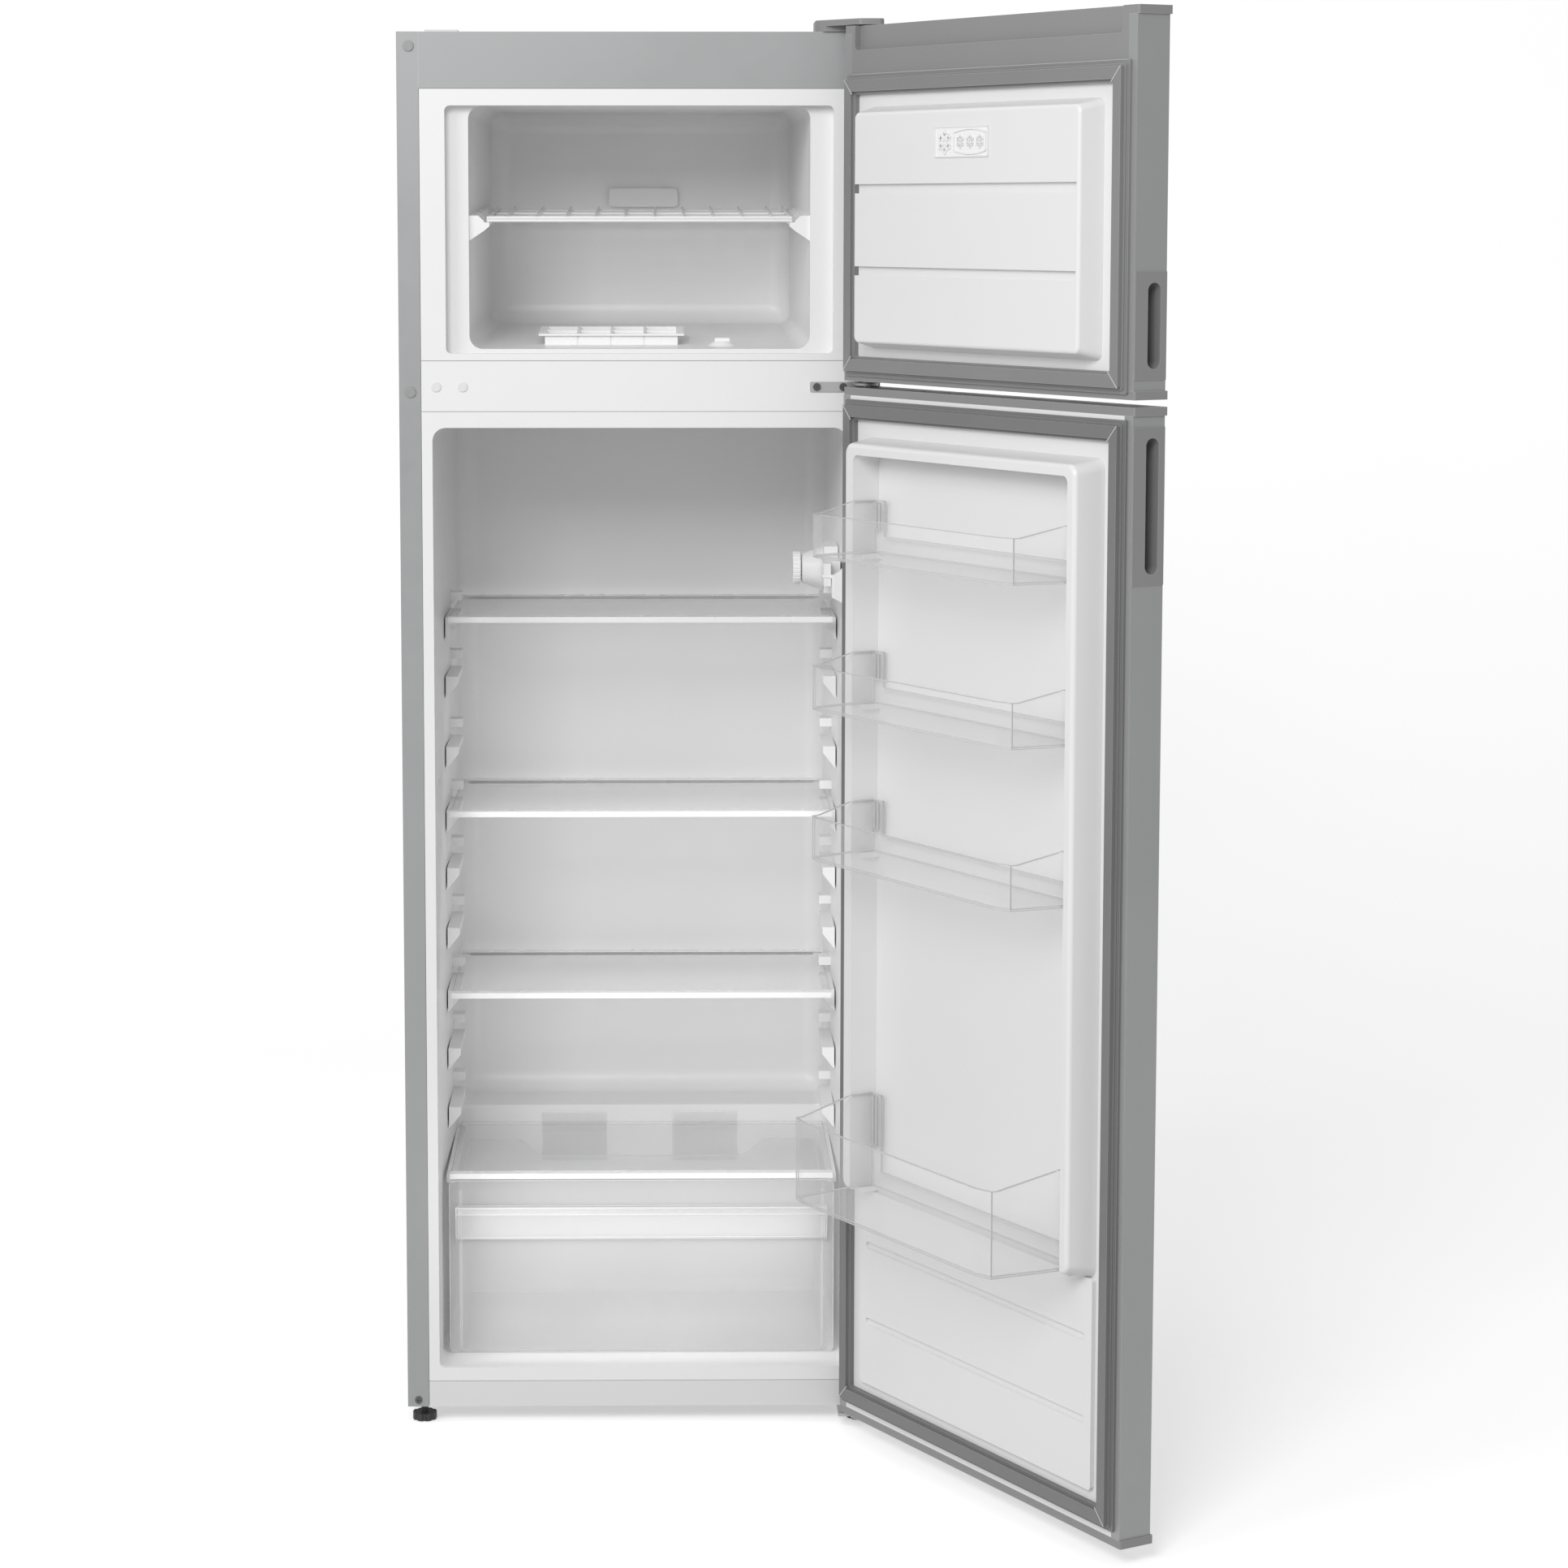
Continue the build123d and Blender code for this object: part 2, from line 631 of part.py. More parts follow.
with BuildPart() as cover_glass:
    block(
        (-glass_half, cover_front + 2, cover_top - glass_thick - 0.5),
        (glass_half, cover_back, cover_top - 0.5),
    )
cover_glass.part.label = "crisper_cover_glass"
export_step(cover_glass.part, "parts/crisper_cover_glass.step")

# The clear drawer: a wide front with a finger grip, and a narrower body with a low rear wall
drawer_front_half = glass_half + 2
drawer_half = glass_half - 10
drawer_bottom = fridge_low + 0.3
drawer_wall = 2.5
drawer_face_top = cover_top - trim_height - 1.2
drawer_side_top = cover_top - glass_thick - 16
drawer_y = cover_front - 1
drawer_back = cover_back - 10
grip_top = 241
grip_bottom = 197
with BuildPart() as crisper_drawer:
    slab(-drawer_front_half, drawer_front_half, drawer_bottom, drawer_face_top, drawer_y, drawer_y + 3, 6)
    block((-drawer_half, drawer_y, drawer_bottom), (drawer_half, drawer_back, drawer_side_top))
    block(
        (-drawer_half + drawer_wall, drawer_y + 3, drawer_bottom + drawer_wall),
        (drawer_half - drawer_wall, drawer_back - drawer_wall, drawer_side_top + 1), Mode.SUBTRACT,
    )
    # The rear wall dips in the middle
    with BuildSketch(Plane.XZ.offset(-drawer_back - 1)):
        with BuildLine():
            Polyline(
                (-150, drawer_side_top + 1), (150, drawer_side_top + 1), (124, drawer_side_top - 20),
                (-124, drawer_side_top - 20), close=True,
            )
        make_face()
    extrude(amount=6, mode=Mode.SUBTRACT)
    # The grip: a long bulge, hollow from below
    with BuildSketch(Plane.YZ.offset(-drawer_front_half + 8)):
        with BuildLine():
            Polyline(
                (drawer_y, grip_bottom), (drawer_y - 8, grip_bottom + 8), (drawer_y - 12, grip_top - 8),
                (drawer_y - 8, grip_top), (drawer_y, grip_top), close=True,
            )
        make_face()
    extrude(amount=2 * drawer_front_half - 16)
    with BuildSketch(Plane.YZ.offset(-drawer_front_half + 11)):
        with BuildLine():
            Polyline(
                (drawer_y, grip_bottom - 1), (drawer_y - 5, grip_bottom - 1), (drawer_y - 9, grip_top - 8),
                (drawer_y - 6, grip_top - 3), (drawer_y, grip_top - 3), close=True,
            )
        make_face()
    extrude(amount=2 * drawer_front_half - 22, mode=Mode.SUBTRACT)
crisper_drawer.part.label = "crisper_drawer"
export_step(crisper_drawer.part, "parts/crisper_drawer.step")

# The control on the right wall: housing with an arm, lamp lens, thermostat dial and lamp switch
control_y = 150
control_z = 978
dial_x = fridge_half - 55.5
dial_radius = 19
dial_thick = 9
lens_small = 17.5
lens_large = 25.3
lens_long = 25.5
lens_x = dial_x + dial_thick + 0.8
shaft = 4
housing_x = lens_x + lens_long + 0.2
housing_half = 27
arm_left = fridge_half - 24
arm_right = fridge_half - 16
arm_tip = 36.6
pivot_y = 38
pivot_z = control_z
pivot_radius = 2.5
with BuildPart() as control_housing:
    block(
        (housing_x, control_y - housing_half, control_z - housing_half),
        (fridge_wall(control_y + 46) - 0.2, control_y + 46, control_z + housing_half),
    )
    block(
        (arm_left, 74, control_z - 11),
        (fridge_wall(control_y) - 0.5, control_y - housing_half, control_z + 15),
    )
    block((arm_left, arm_tip, control_z - 11), (arm_right, 74, control_z + 15))
    with Locations((0, pivot_y, pivot_z)):
        Cylinder(pivot_radius + running, 600, rotation=(0, 90, 0), mode=Mode.SUBTRACT)
control_housing.part.label = "control_housing"
export_step(control_housing.part, "parts/control_housing.step")

with BuildPart() as light_switch:
    with BuildSketch(Plane.XZ.offset(-42)):
        with BuildLine():
            Polyline(
                (arm_right + 1, control_z + 1.5), (fridge_half - 1.6, control_z + 10),
                (fridge_half - 1.6, control_z - 30), (arm_right + 1, control_z - 23),
                close=True,
            )
        make_face()
    extrude(amount=14)
    fillet(light_switch.edges().filter_by(Axis.Z).group_by(Axis.X)[0], 2)
    with Locations((arm_left - 1.5, pivot_y, pivot_z)):
        Cylinder(pivot_radius, 12, rotation=(0, 90, 0), align=(Align.CENTER, Align.CENTER, Align.MIN))
light_switch.part.label = "light_switch"
export_step(light_switch.part, "parts/light_switch.step")

with BuildPart() as lamp_lens:
    with Locations((lens_x, control_y, control_z)):
        Cone(
            lens_small, lens_large, lens_long, rotation=(0, 90, 0),
            align=(Align.CENTER, Align.CENTER, Align.MIN),
        )
    fillet(lamp_lens.edges().group_by(Axis.X)[0], 5)
    with Locations((lens_x + 2, control_y, control_z)):
        Cone(
            lens_small - 2, lens_large - 2, lens_long, rotation=(0, 90, 0),
            align=(Align.CENTER, Align.CENTER, Align.MIN), mode=Mode.SUBTRACT,
        )
    with Locations((lens_x, control_y, control_z)):
        Cylinder(
            shaft + 3, lens_long, rotation=(0, 90, 0), align=(Align.CENTER, Align.CENTER, Align.MIN)
        )
        Cylinder(
            shaft + running, 14, rotation=(0, 90, 0), align=(Align.CENTER, Align.CENTER, Align.MIN),
            mode=Mode.SUBTRACT,
        )
lamp_lens.part.label = "lamp_lens"
export_step(lamp_lens.part, "parts/lamp_lens.step")

with BuildPart() as thermostat_dial:
    with Locations((dial_x, control_y, control_z)):
        Cylinder(
            dial_radius, dial_thick, rotation=(0, 90, 0), align=(Align.CENTER, Align.CENTER, Align.MIN)
        )
    fillet(thermostat_dial.edges(), 1.5)
    with Locations((dial_x, control_y, control_z)):
        Cylinder(
            shaft, dial_thick + 12, rotation=(0, 90, 0), align=(Align.CENTER, Align.CENTER, Align.MIN)
        )
    for n in range(24):
        angle = math.radians(15 * n)
        with Locations(
            (dial_x, control_y + dial_radius * math.cos(angle), control_z + dial_radius * math.sin(angle))
        ):
            Cylinder(1.1, 40, rotation=(0, 90, 0), mode=Mode.SUBTRACT)
thermostat_dial.part.label = "thermostat_dial"
export_step(thermostat_dial.part, "parts/thermostat_dial.step")

# Doors: (name, underside, top, gasket's levels, grip's levels)
freezer_seal = (freezer_door_bottom + 5.8, freezer_face_top + 13.5)
freezer_grip = (freezer_door_bottom + 20.8, freezer_door_bottom + 126.8)
fridge_seal = (fridge_door_bottom + 16, fridge_door_top - 13)
fridge_grip = (fridge_door_top - 178, fridge_door_top - 21)
doors = (
    ("freezer", freezer_door_bottom, freezer_door_top, freezer_seal, freezer_grip),
    ("fridge", fridge_door_bottom, fridge_door_top, fridge_seal, fridge_grip),
)
cap_height = 8.8
cap_proud = 2
insert_depth = 26
insert_proud = 1
pocket_v = (16, 32)
pocket_depth = 20
return_width = 14

for name, low, high, seal, grip in doors:
    skin_low = low + cap_height
    skin_high = high - cap_height
    side_x = -door_half

    # Outer steel, folded round both sides, with a window for the grip
    with BuildPart() as door_panel:
        block((-door_half, outer_y, skin_low), (door_half, outer_y + sheet, skin_high))
        for side in (-1, 1):
            block((side * door_half, outer_y, skin_low), (side * (door_half - sheet), inner_y, skin_high))
            block(
                (side * door_half, inner_y - sheet, skin_low),
                (side * (door_half - return_width), inner_y, skin_high),
            )
        front_corners = door_panel.edges().filter_by(Axis.Z).filter_by(
            lambda edge: edge.center().Y < outer_y + 0.01 and abs(edge.center().X) > door_half - 0.01
        )
        fillet(front_corners, bend)
        block((side_x - 1, outer_y + 2, grip[0]), (side_x + sheet, inner_y - 1.5, grip[1]), Mode.SUBTRACT)
    door_panel.part = opened(door_panel.part)
    door_panel.part.label = f"{name}_door_panel"
    export_step(door_panel.part, f"parts/{name}_door_panel.step")

    # The grip: a moulding in the free edge with a slot for the fingers
    with BuildPart() as grip_insert:
        block((side_x, outer_y + 2, grip[0]), (side_x + insert_depth, inner_y - 1.5, grip[1]))
        block((side_x - insert_proud, outer_y + 0.5, grip[0] - 1), (side_x, inner_y - 0.3, grip[1] + 1))
        with BuildSketch(Plane.YZ.offset(side_x - insert_proud)):
            with Locations((inner_y - sum(pocket_v) / 2, (grip[0] + grip[1]) / 2)):
                SlotOverall(grip[1] - grip[0] - 20, pocket_v[1] - pocket_v[0], rotation=90)
        extrude(amount=pocket_depth + insert_proud, mode=Mode.SUBTRACT)
    grip_insert.part = opened(grip_insert.part)
    grip_insert.part.label = f"{name}_door_grip"
    export_step(grip_insert.part, f"parts/{name}_door_grip.step")

    # End caps, with the bores that turn on the hinge pins
    with BuildPart() as top_cap:
        block(
            (-door_half - cap_proud, outer_y - cap_proud, skin_high), (door_half, inner_y, high)
        )
        fillet(top_cap.edges().filter_by(Axis.Z), 2)
        if name == "freezer":
            block(
                (-door_half + return_width + 0.2, inner_y - 12, seal[1] + 0.5),
                (door_half - return_width - 0.2, inner_y, skin_high),
            )
            slab(
                door_x(door_width - 24), door_x(20), high - 27, high + 10, inner_y - 8, inner_y + 1,
                5, Mode.SUBTRACT,
            )
        upright(hinge_x, hinge_y, high - pin_length - 4, high + 1, pin_radius + running, Mode.SUBTRACT)
    top_cap.part = opened(top_cap.part)
    top_cap.part.label = f"{name}_door_top_cap"
    export_step(top_cap.part, f"parts/{name}_door_top_cap.step")

    with BuildPart() as bottom_cap:
        block(
            (-door_half - cap_proud, outer_y - cap_proud, low), (door_half, inner_y, skin_low)
        )
        fillet(bottom_cap.edges().filter_by(Axis.Z), 2)
        upright(hinge_x, hinge_y, low - 1, low + pin_length + 4, pin_radius + running, Mode.SUBTRACT)
    bottom_cap.part = opened(bottom_cap.part)
    bottom_cap.part.label = f"{name}_door_bottom_cap"
    export_step(bottom_cap.part, f"parts/{name}_door_bottom_cap.step")

    # Foam that fills the door behind its liner
    with BuildPart() as door_foam:
        block(
            (-door_half + sheet, outer_y + sheet, skin_low),
            (door_half - sheet, inner_y - liner_skin, skin_high),
        )
        block((-door_half, outer_y + 2, grip[0]), (side_x + insert_depth, inner_y, grip[1]), Mode.SUBTRACT)
        for level in (low, high):
            upright(
                hinge_x, hinge_y, level - pin_length - 4,
                level + pin_length + 4, pin_radius + 2, Mode.SUBTRACT,
            )
        if name == "freezer":
            block(
                (-door_half, inner_y - 12, seal[1] + 0.5),
                (door_half - return_width - 0.2, inner_y, high), Mode.SUBTRACT,
            )
    door_foam.part = opened(door_foam.part)
    door_foam.part.label = f"{name}_door_foam"
    export_step(door_foam.part, f"parts/{name}_door_foam.step")

    # The magnetic gasket: a wide foot, then a hollow-looking bead set in from it
    with BuildPart() as gasket:
        left, right = door_x(door_width - gasket_inset), door_x(gasket_inset)
        slab(left, right, seal[0], seal[1], inner_y, inner_y + 3, 2)
        slab(left + 6, right - 6, seal[0] + 6, seal[1] - 6, inner_y + 3, inner_y + gasket_proud, 2)
        slab(left + 4, right - 4, seal[0] + 4, seal[1] - 4, inner_y + 3, inner_y + 5, 2)
        slab(
            left + gasket_width, right - gasket_width, seal[0] + gasket_width, seal[1] - gasket_width,
            inner_y - 1, inner_y + 20, 2, Mode.SUBTRACT,
        )
        slab(
            left + gasket_width - 3, right - gasket_width + 3, seal[0] + gasket_width - 3,
            seal[1] - gasket_width + 3, inner_y + 6, inner_y + 20, 2, Mode.SUBTRACT,
        )
    gasket.part = opened(gasket.part)
    gasket.part.label = f"{name}_door_gasket"
    export_step(gasket.part, f"parts/{name}_door_gasket.step")


def raised(u0, u1, z0, z1, reach, shrink, corner):
    """A moulded boss on a door's liner: its outline at the door, drawn in by the shrink at its face."""
    with BuildSketch(Plane.XZ.offset(-inner_y)) as foot_outline:
        with Locations(((door_x(u0) + door_x(u1)) / 2, (z0 + z1) / 2)):
            RectangleRounded(u1 - u0, z1 - z0, corner)
    with BuildSketch(Plane.XZ.offset(-inner_y - reach)) as face_outline:
        with Locations(((door_x(u0) + door_x(u1)) / 2, (z0 + z1) / 2)):
            RectangleRounded(u1 - u0 - 2 * shrink, z1 - z0 - 2 * shrink, corner)
    loft([foot_outline.sketch.face(), face_outline.sketch.face()], ruled=True)


# The freezer door's liner: one big boss with two grooves across it
boss_u = (53, door_width - 53)
boss_z = (freezer_low + 4.3, freezer_high - 3.6)
boss_reach = 26
boss_shrink = 7
boss_round = 4
boss_third = (boss_z[1] - boss_z[0] + 4.3) / 3
groove_z = (boss_z[1] - boss_third, boss_z[1] - 2 * boss_third)
groove_width = 10
groove_end = boss_u[1] - boss_shrink - boss_round
with BuildPart() as freezer_door_liner:
    slab(
        door_x(door_width - return_width), door_x(return_width), freezer_door_bottom + cap_height,
        freezer_seal[1] + 0.4, inner_y - liner_skin, inner_y, 1,
    )
    raised(*boss_u, *boss_z, boss_reach, boss_shrink, 8)
    fillet(freezer_door_liner.faces().sort_by(Axis.Y)[-1].edges(), boss_round)
    for z in groove_z:
        block(
            (door_half, inner_y + boss_reach - 5, z - groove_width / 2),
            (door_x(groove_end), inner_y + boss_reach + 1, z + groove_width / 2), Mode.SUBTRACT,
        )
        block(
            (door_x(boss_u[0]), inner_y + 0.5, z - groove_width / 2),
            (door_x(boss_u[0] + 10), inner_y + boss_reach, z + groove_width / 2), Mode.SUBTRACT,
        )
    slab(
        door_x(boss_u[1] - 14), door_x(boss_u[0] + 14), boss_z[0] + 12, boss_z[1] - 12,
        inner_y - liner_skin - 1, inner_y + boss_reach - 10, 6, Mode.SUBTRACT,
    )
freezer_door_liner.part = opened(freezer_door_liner.part)
freezer_door_liner.part.label = "freezer_door_liner"
export_step(freezer_door_liner.part, "parts/freezer_door_liner.step")

# The fresh food door's liner: a frame of dikes that carries the bins, over a grooved lower panel
dike_outer = (50, door_width - 45)
dike_top = fridge_high - 5.8
dike_end = 296
panel_z = (71, 296)
panel_reach = 5
lug_reach = 22
with BuildPart() as fridge_door_liner:
    slab(
        door_x(door_width - return_width), door_x(return_width), fridge_door_bottom + cap_height,
        fridge_door_top - cap_height, inner_y - liner_skin, inner_y, 1,
    )
    raised(*dike_outer, dike_end, dike_top, dike_reach, 6, 12)
    fillet(fridge_door_liner.faces().sort_by(Axis.Y)[-1].edges(), 5)
    slab(
        door_x(dike_inner[1]), door_x(dike_inner[0]), dike_end - 20, dike_top - 18,
        inner_y - 0.2, inner_y + dike_reach + 1, 8, Mode.SUBTRACT,
    )
    slab(door_x(dike_outer[1]), door_x(dike_outer[0]), *panel_z, inner_y, inner_y + panel_reach, 4)
    for z in (232, 144):
        slab(
            door_x(door_width - 56), door_x(62), z - 4, z + 4,
            inner_y + panel_reach - 3, inner_y + panel_reach + 1, 3.9,
            Mode.SUBTRACT,
        )
    for under, front_height, end_height, reach in bins:
        for u in (dike_inner[0] - 1, dike_inner[1] - 7):
            block((door_x(u), inner_y - 0.2, under - 6), (door_x(u + 8), inner_y + lug_reach, under - 0.2))
fridge_door_liner.part = opened(fridge_door_liner.part)
fridge_door_liner.part.label = "fridge_door_liner"
export_step(fridge_door_liner.part, "parts/fridge_door_liner.step")


def bin_outline(reach, inset):
    """A bin seen from above, drawn in by the inset: straight by the door, splayed, then chamfered."""
    left, right = door_x(bin_ends[1]), door_x(bin_ends[0])
    back = inner_y + bin_back + inset
    front = inner_y + reach - inset
    points = [(left + inset, back), (left + inset, inner_y + dike_reach + 4), (left + 9 + inset, front - 6)]
    points += [(left + 30 + inset / 2, front), (right - 30 - inset / 2, front)]
    points += [(right - 9 - inset, front - 6), (right - inset, inner_y + dike_reach + 4)]
    points += [(right - inset, back)]
    with BuildLine() as outline:
        Polyline(*points, close=True)
    make_face(outline.line.edges())


for number, (under, front_height, end_height, reach) in enumerate(bins, start=1):
    with BuildPart() as door_bin:
        with BuildSketch(Plane.XY.offset(under)):
            bin_outline(reach, 0)
        extrude(amount=end_height)
        with BuildSketch(Plane.XY.offset(under + bin_wall)):
            bin_outline(reach, bin_wall)
        extrude(amount=end_height, mode=Mode.SUBTRACT)
        # The rim falls from the door to the front
        with BuildSketch(Plane.YZ.offset(-door_half)):
            with BuildLine():
                Polyline(
                    (inner_y + dike_reach, under + end_height), (inner_y + reach - 14, under + front_height),
                    (inner_y + reach + 5, under + front_height),
                    (inner_y + reach + 5, under + end_height + 5),
                    (inner_y + dike_reach, under + end_height + 5), close=True,
                )
            make_face()
        extrude(amount=door_width, mode=Mode.SUBTRACT)
        # The back is low between two tall ends
        block(
            (door_x(bin_ends[1] - 22), inner_y + bin_back - 1, under + 20),
            (door_x(bin_ends[0] + 22), inner_y + bin_back + bin_wall + 0.2, under + end_height + 1),
            Mode.SUBTRACT,
        )
        # Ribs of the catches at both ends
        for u in (bin_ends[0] + 7, bin_ends[0] + 14, bin_ends[1] - 9, bin_ends[1] - 16):
            block(
                (door_x(u), inner_y + bin_back + bin_wall - 0.5, under + end_height * 0.45),
                (door_x(u + 2), inner_y + bin_back + bin_wall + 2, under + end_height - 3),
            )
    door_bin.part = opened(door_bin.part)
    door_bin.part.label = f"door_bin_{number}"
    export_step(door_bin.part, f"parts/door_bin_{number}.step")

# Front feet: a lobed pad on a threaded stem
for side, name in ((-1, "left"), (1, "right")):
    with BuildPart() as foot:
        with BuildSketch(Plane.XY):
            with Locations((side * foot_x, foot_y)):
                Circle(foot_pad)
                with PolarLocations(foot_pad + 1.2, 8):
                    Circle(2.8, mode=Mode.SUBTRACT)
        extrude(amount=foot_high)
        fillet(foot.edges().group_by(Axis.Z)[0], 0.6)
        upright(side * foot_x, foot_y, foot_high - 1, 46, foot_stem)
    foot.part.label = f"foot_{name}"
    export_step(foot.part, f"parts/foot_{name}.step")

# Rear rollers
for side, name in ((-1, "left"), (1, "right")):
    with BuildPart() as roller:
        with Locations((side * roller_x, roller_y, roller_radius)):
            Cylinder(roller_radius, roller_width, rotation=(0, 90, 0))
            Cylinder(axle_radius + running, roller_width + 2, rotation=(0, 90, 0), mode=Mode.SUBTRACT)
    roller.part.label = f"roller_{name}"
    export_step(roller.part, f"parts/roller_{name}.step")

# Compressor on four rubber grommets, with its starter box, and the tray that its heat dries
tube_radius = 2.4
tube_y = cabinet_depth + 26
run_half = half - 65
run_low = 330
run_pitch = 80
runs = 15
wire_radius = 0.8
wire_count = 20
wire_pitch = 18
turn_radius = 30
compressor_x = 70
compressor_y = cabinet_depth - 34
compressor_low = 36
compressor_high = 190
deck_top = cabinet_bottom + base_thick
with BuildPart() as compressor:
    with BuildSketch(Plane.XY.offset(compressor_low)):
        with Locations((compressor_x, compressor_y)):
            Ellipse(92, 60)
    extrude(amount=compressor_high - compressor_low)
    fillet(compressor.edges().group_by(Axis.Z)[-1], 26)
    fillet(compressor.edges().group_by(Axis.Z)[0], 12)
    with BuildSketch(Plane.XY.offset(deck_top + 12)):
        with Locations((compressor_x, compressor_y)):
            RectangleRounded(210, 100, 10)
    extrude(amount=compressor_low + 6 - deck_top - 12)
    block((compressor_x - 128, compressor_y - 26, 70), (compressor_x - 80, compressor_y + 26, 140))
    with BuildLine() as discharge:
        FilletPolyline(
            (compressor_x + 70, compressor_y + 26, 120), (run_half + 24, compressor_y + 26, 120),
            (run_half + 24, compressor_y + 26, 200), (run_half + 24, tube_y, 200),
            (run_half + 24, tube_y, run_low), (run_half, tube_y, run_low), radius=11,
        )
    with BuildSketch(Plane(origin=(compressor_x + 70, compressor_y + 26, 120), z_dir=(1, 0, 0))):
        Circle(tube_radius)
    sweep(path=discharge.line)
    # The suction tube goes up into the insulation
    with BuildLine() as suction:
        FilletPolyline(
            (compressor_x + 70, compressor_y - 20, 150), (run_half + 8, compressor_y - 20, 150),
            (run_half + 8, compressor_y - 20, machine_roof), radius=20,
        )
    with BuildSketch(Plane(origin=(compressor_x + 70, compressor_y - 20, 150), z_dir=(1, 0, 0))):
        Circle(3.2)
    sweep(path=suction.line)
compressor.part.label = "compressor"
export_step(compressor.part, "parts/compressor.step")

with BuildPart() as grommets:
    with Locations((compressor_x, compressor_y, deck_top)):
        with GridLocations(180, 70, 2, 2):
            Cylinder(9, 12, align=(Align.CENTER, Align.CENTER, Align.MIN))
grommets.part.label = "compressor_grommets"
export_step(grommets.part, "parts/compressor_grommets.step")

with BuildPart() as drip_tray:
    block(
        (compressor_x - 75, compressor_y - 45, compressor_high), (compressor_x + 75, compressor_y + 45, 226)
    )
    block(
        (compressor_x - 73, compressor_y - 43, compressor_high + 2),
        (compressor_x + 73, compressor_y + 43, 230),
        Mode.SUBTRACT,
    )
drip_tray.part.label = "evaporation_tray"
export_step(drip_tray.part, "parts/evaporation_tray.step")

# The condenser: one tube bent to and fro, with straight wires welded across it
path_points = []
for n in range(runs):
    ends = (run_half, -run_half) if n % 2 == 0 else (-run_half, run_half)
    path_points += [(x, tube_y, run_low + n * run_pitch) for x in ends]
# The outlet goes back down the side to a drier beside the compressor
outlet_x = 35 - half
outlet_z = path_points[-1][2]
outlet_bend = 20
drier_top = 230
drier_length = 90
braze_gap = 0.2
with BuildPart() as condenser:
    with BuildLine() as route:
        FilletPolyline(*path_points, radius=turn_radius)
    with BuildSketch(Plane(origin=path_points[0], z_dir=(-1, 0, 0))):
        Circle(tube_radius)
    sweep(path=route.line)
    with BuildLine() as outlet:
        FilletPolyline(
            (-run_half - braze_gap, tube_y, outlet_z), (outlet_x, tube_y, outlet_z),
            (outlet_x, tube_y, drier_top), radius=outlet_bend,
        )
    with BuildSketch(Plane(origin=(-run_half - braze_gap, tube_y, outlet_z), z_dir=(-1, 0, 0))):
        Circle(tube_radius)
    sweep(path=outlet.line)
    wire_y = tube_y + tube_radius + wire_radius - 0.4
    for n in range(wire_count):
        with Locations((wire_pitch * (n - (wire_count - 1) / 2), wire_y, run_low - 12)):
            Cylinder(
                wire_radius, (runs - 1) * run_pitch + 24, align=(Align.CENTER, Align.CENTER, Align.MIN)
            )
    upright(outlet_x, tube_y, drier_top - drier_length, drier_top, 8)
condenser.part.label = "condenser"
export_step(condenser.part, "parts/condenser.step")

# Four spacers hold the condenser off the back sheet
with BuildPart() as spacers:
    for z in (run_low + run_pitch, run_low + 13 * run_pitch):
        for x in (-150, 150):
            block((x - 8, cabinet_depth, z - 7), (x + 8, tube_y + 1.4, z + 7))
            with Locations((x, tube_y, z)):
                Cylinder(tube_radius + 0.1, 40, rotation=(0, 90, 0), mode=Mode.SUBTRACT)
spacers.part.label = "condenser_spacers"
export_step(spacers.part, "parts/condenser_spacers.step")

# The mains inlet gland, in the base plate's rear upstand
with BuildPart() as cord_gland:
    with Locations((-120, base_back - base_thick, cabinet_bottom + 12)):
        Cylinder(9, 8, rotation=(-90, 0, 0), align=(Align.CENTER, Align.CENTER, Align.MIN))
        Cylinder(4, 40, rotation=(-90, 0, 0), mode=Mode.SUBTRACT)
    block((-140, base_back - 5, 0), (-100, base_back, 60), Mode.SUBTRACT)
cord_gland.part.label = "cord_gland"
export_step(cord_gland.part, "parts/cord_gland.step")
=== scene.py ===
import math

import bmesh
import bpy
from mathutils import Matrix, Vector


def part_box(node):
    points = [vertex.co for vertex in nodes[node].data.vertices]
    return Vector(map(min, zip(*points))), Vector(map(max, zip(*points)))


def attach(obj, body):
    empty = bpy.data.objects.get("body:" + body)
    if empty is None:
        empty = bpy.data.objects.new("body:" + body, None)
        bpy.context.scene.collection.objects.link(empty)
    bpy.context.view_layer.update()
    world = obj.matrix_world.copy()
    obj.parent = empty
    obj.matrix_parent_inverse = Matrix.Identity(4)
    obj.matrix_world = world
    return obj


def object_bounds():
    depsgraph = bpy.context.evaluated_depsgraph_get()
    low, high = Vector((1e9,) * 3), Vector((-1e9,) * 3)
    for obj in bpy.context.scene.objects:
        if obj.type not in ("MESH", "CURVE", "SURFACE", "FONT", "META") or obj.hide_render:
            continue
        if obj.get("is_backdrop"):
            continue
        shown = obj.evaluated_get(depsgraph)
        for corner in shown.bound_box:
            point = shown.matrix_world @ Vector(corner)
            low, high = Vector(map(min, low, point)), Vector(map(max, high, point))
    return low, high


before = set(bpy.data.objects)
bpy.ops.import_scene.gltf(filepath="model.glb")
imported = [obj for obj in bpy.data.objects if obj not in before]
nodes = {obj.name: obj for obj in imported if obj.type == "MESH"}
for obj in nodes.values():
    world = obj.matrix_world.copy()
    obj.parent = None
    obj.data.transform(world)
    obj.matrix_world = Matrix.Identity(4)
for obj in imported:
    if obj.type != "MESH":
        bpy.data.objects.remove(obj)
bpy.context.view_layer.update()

scene = bpy.context.scene
scene.view_settings.view_transform = "Standard"

# ---------------------------------------------------------------- materials

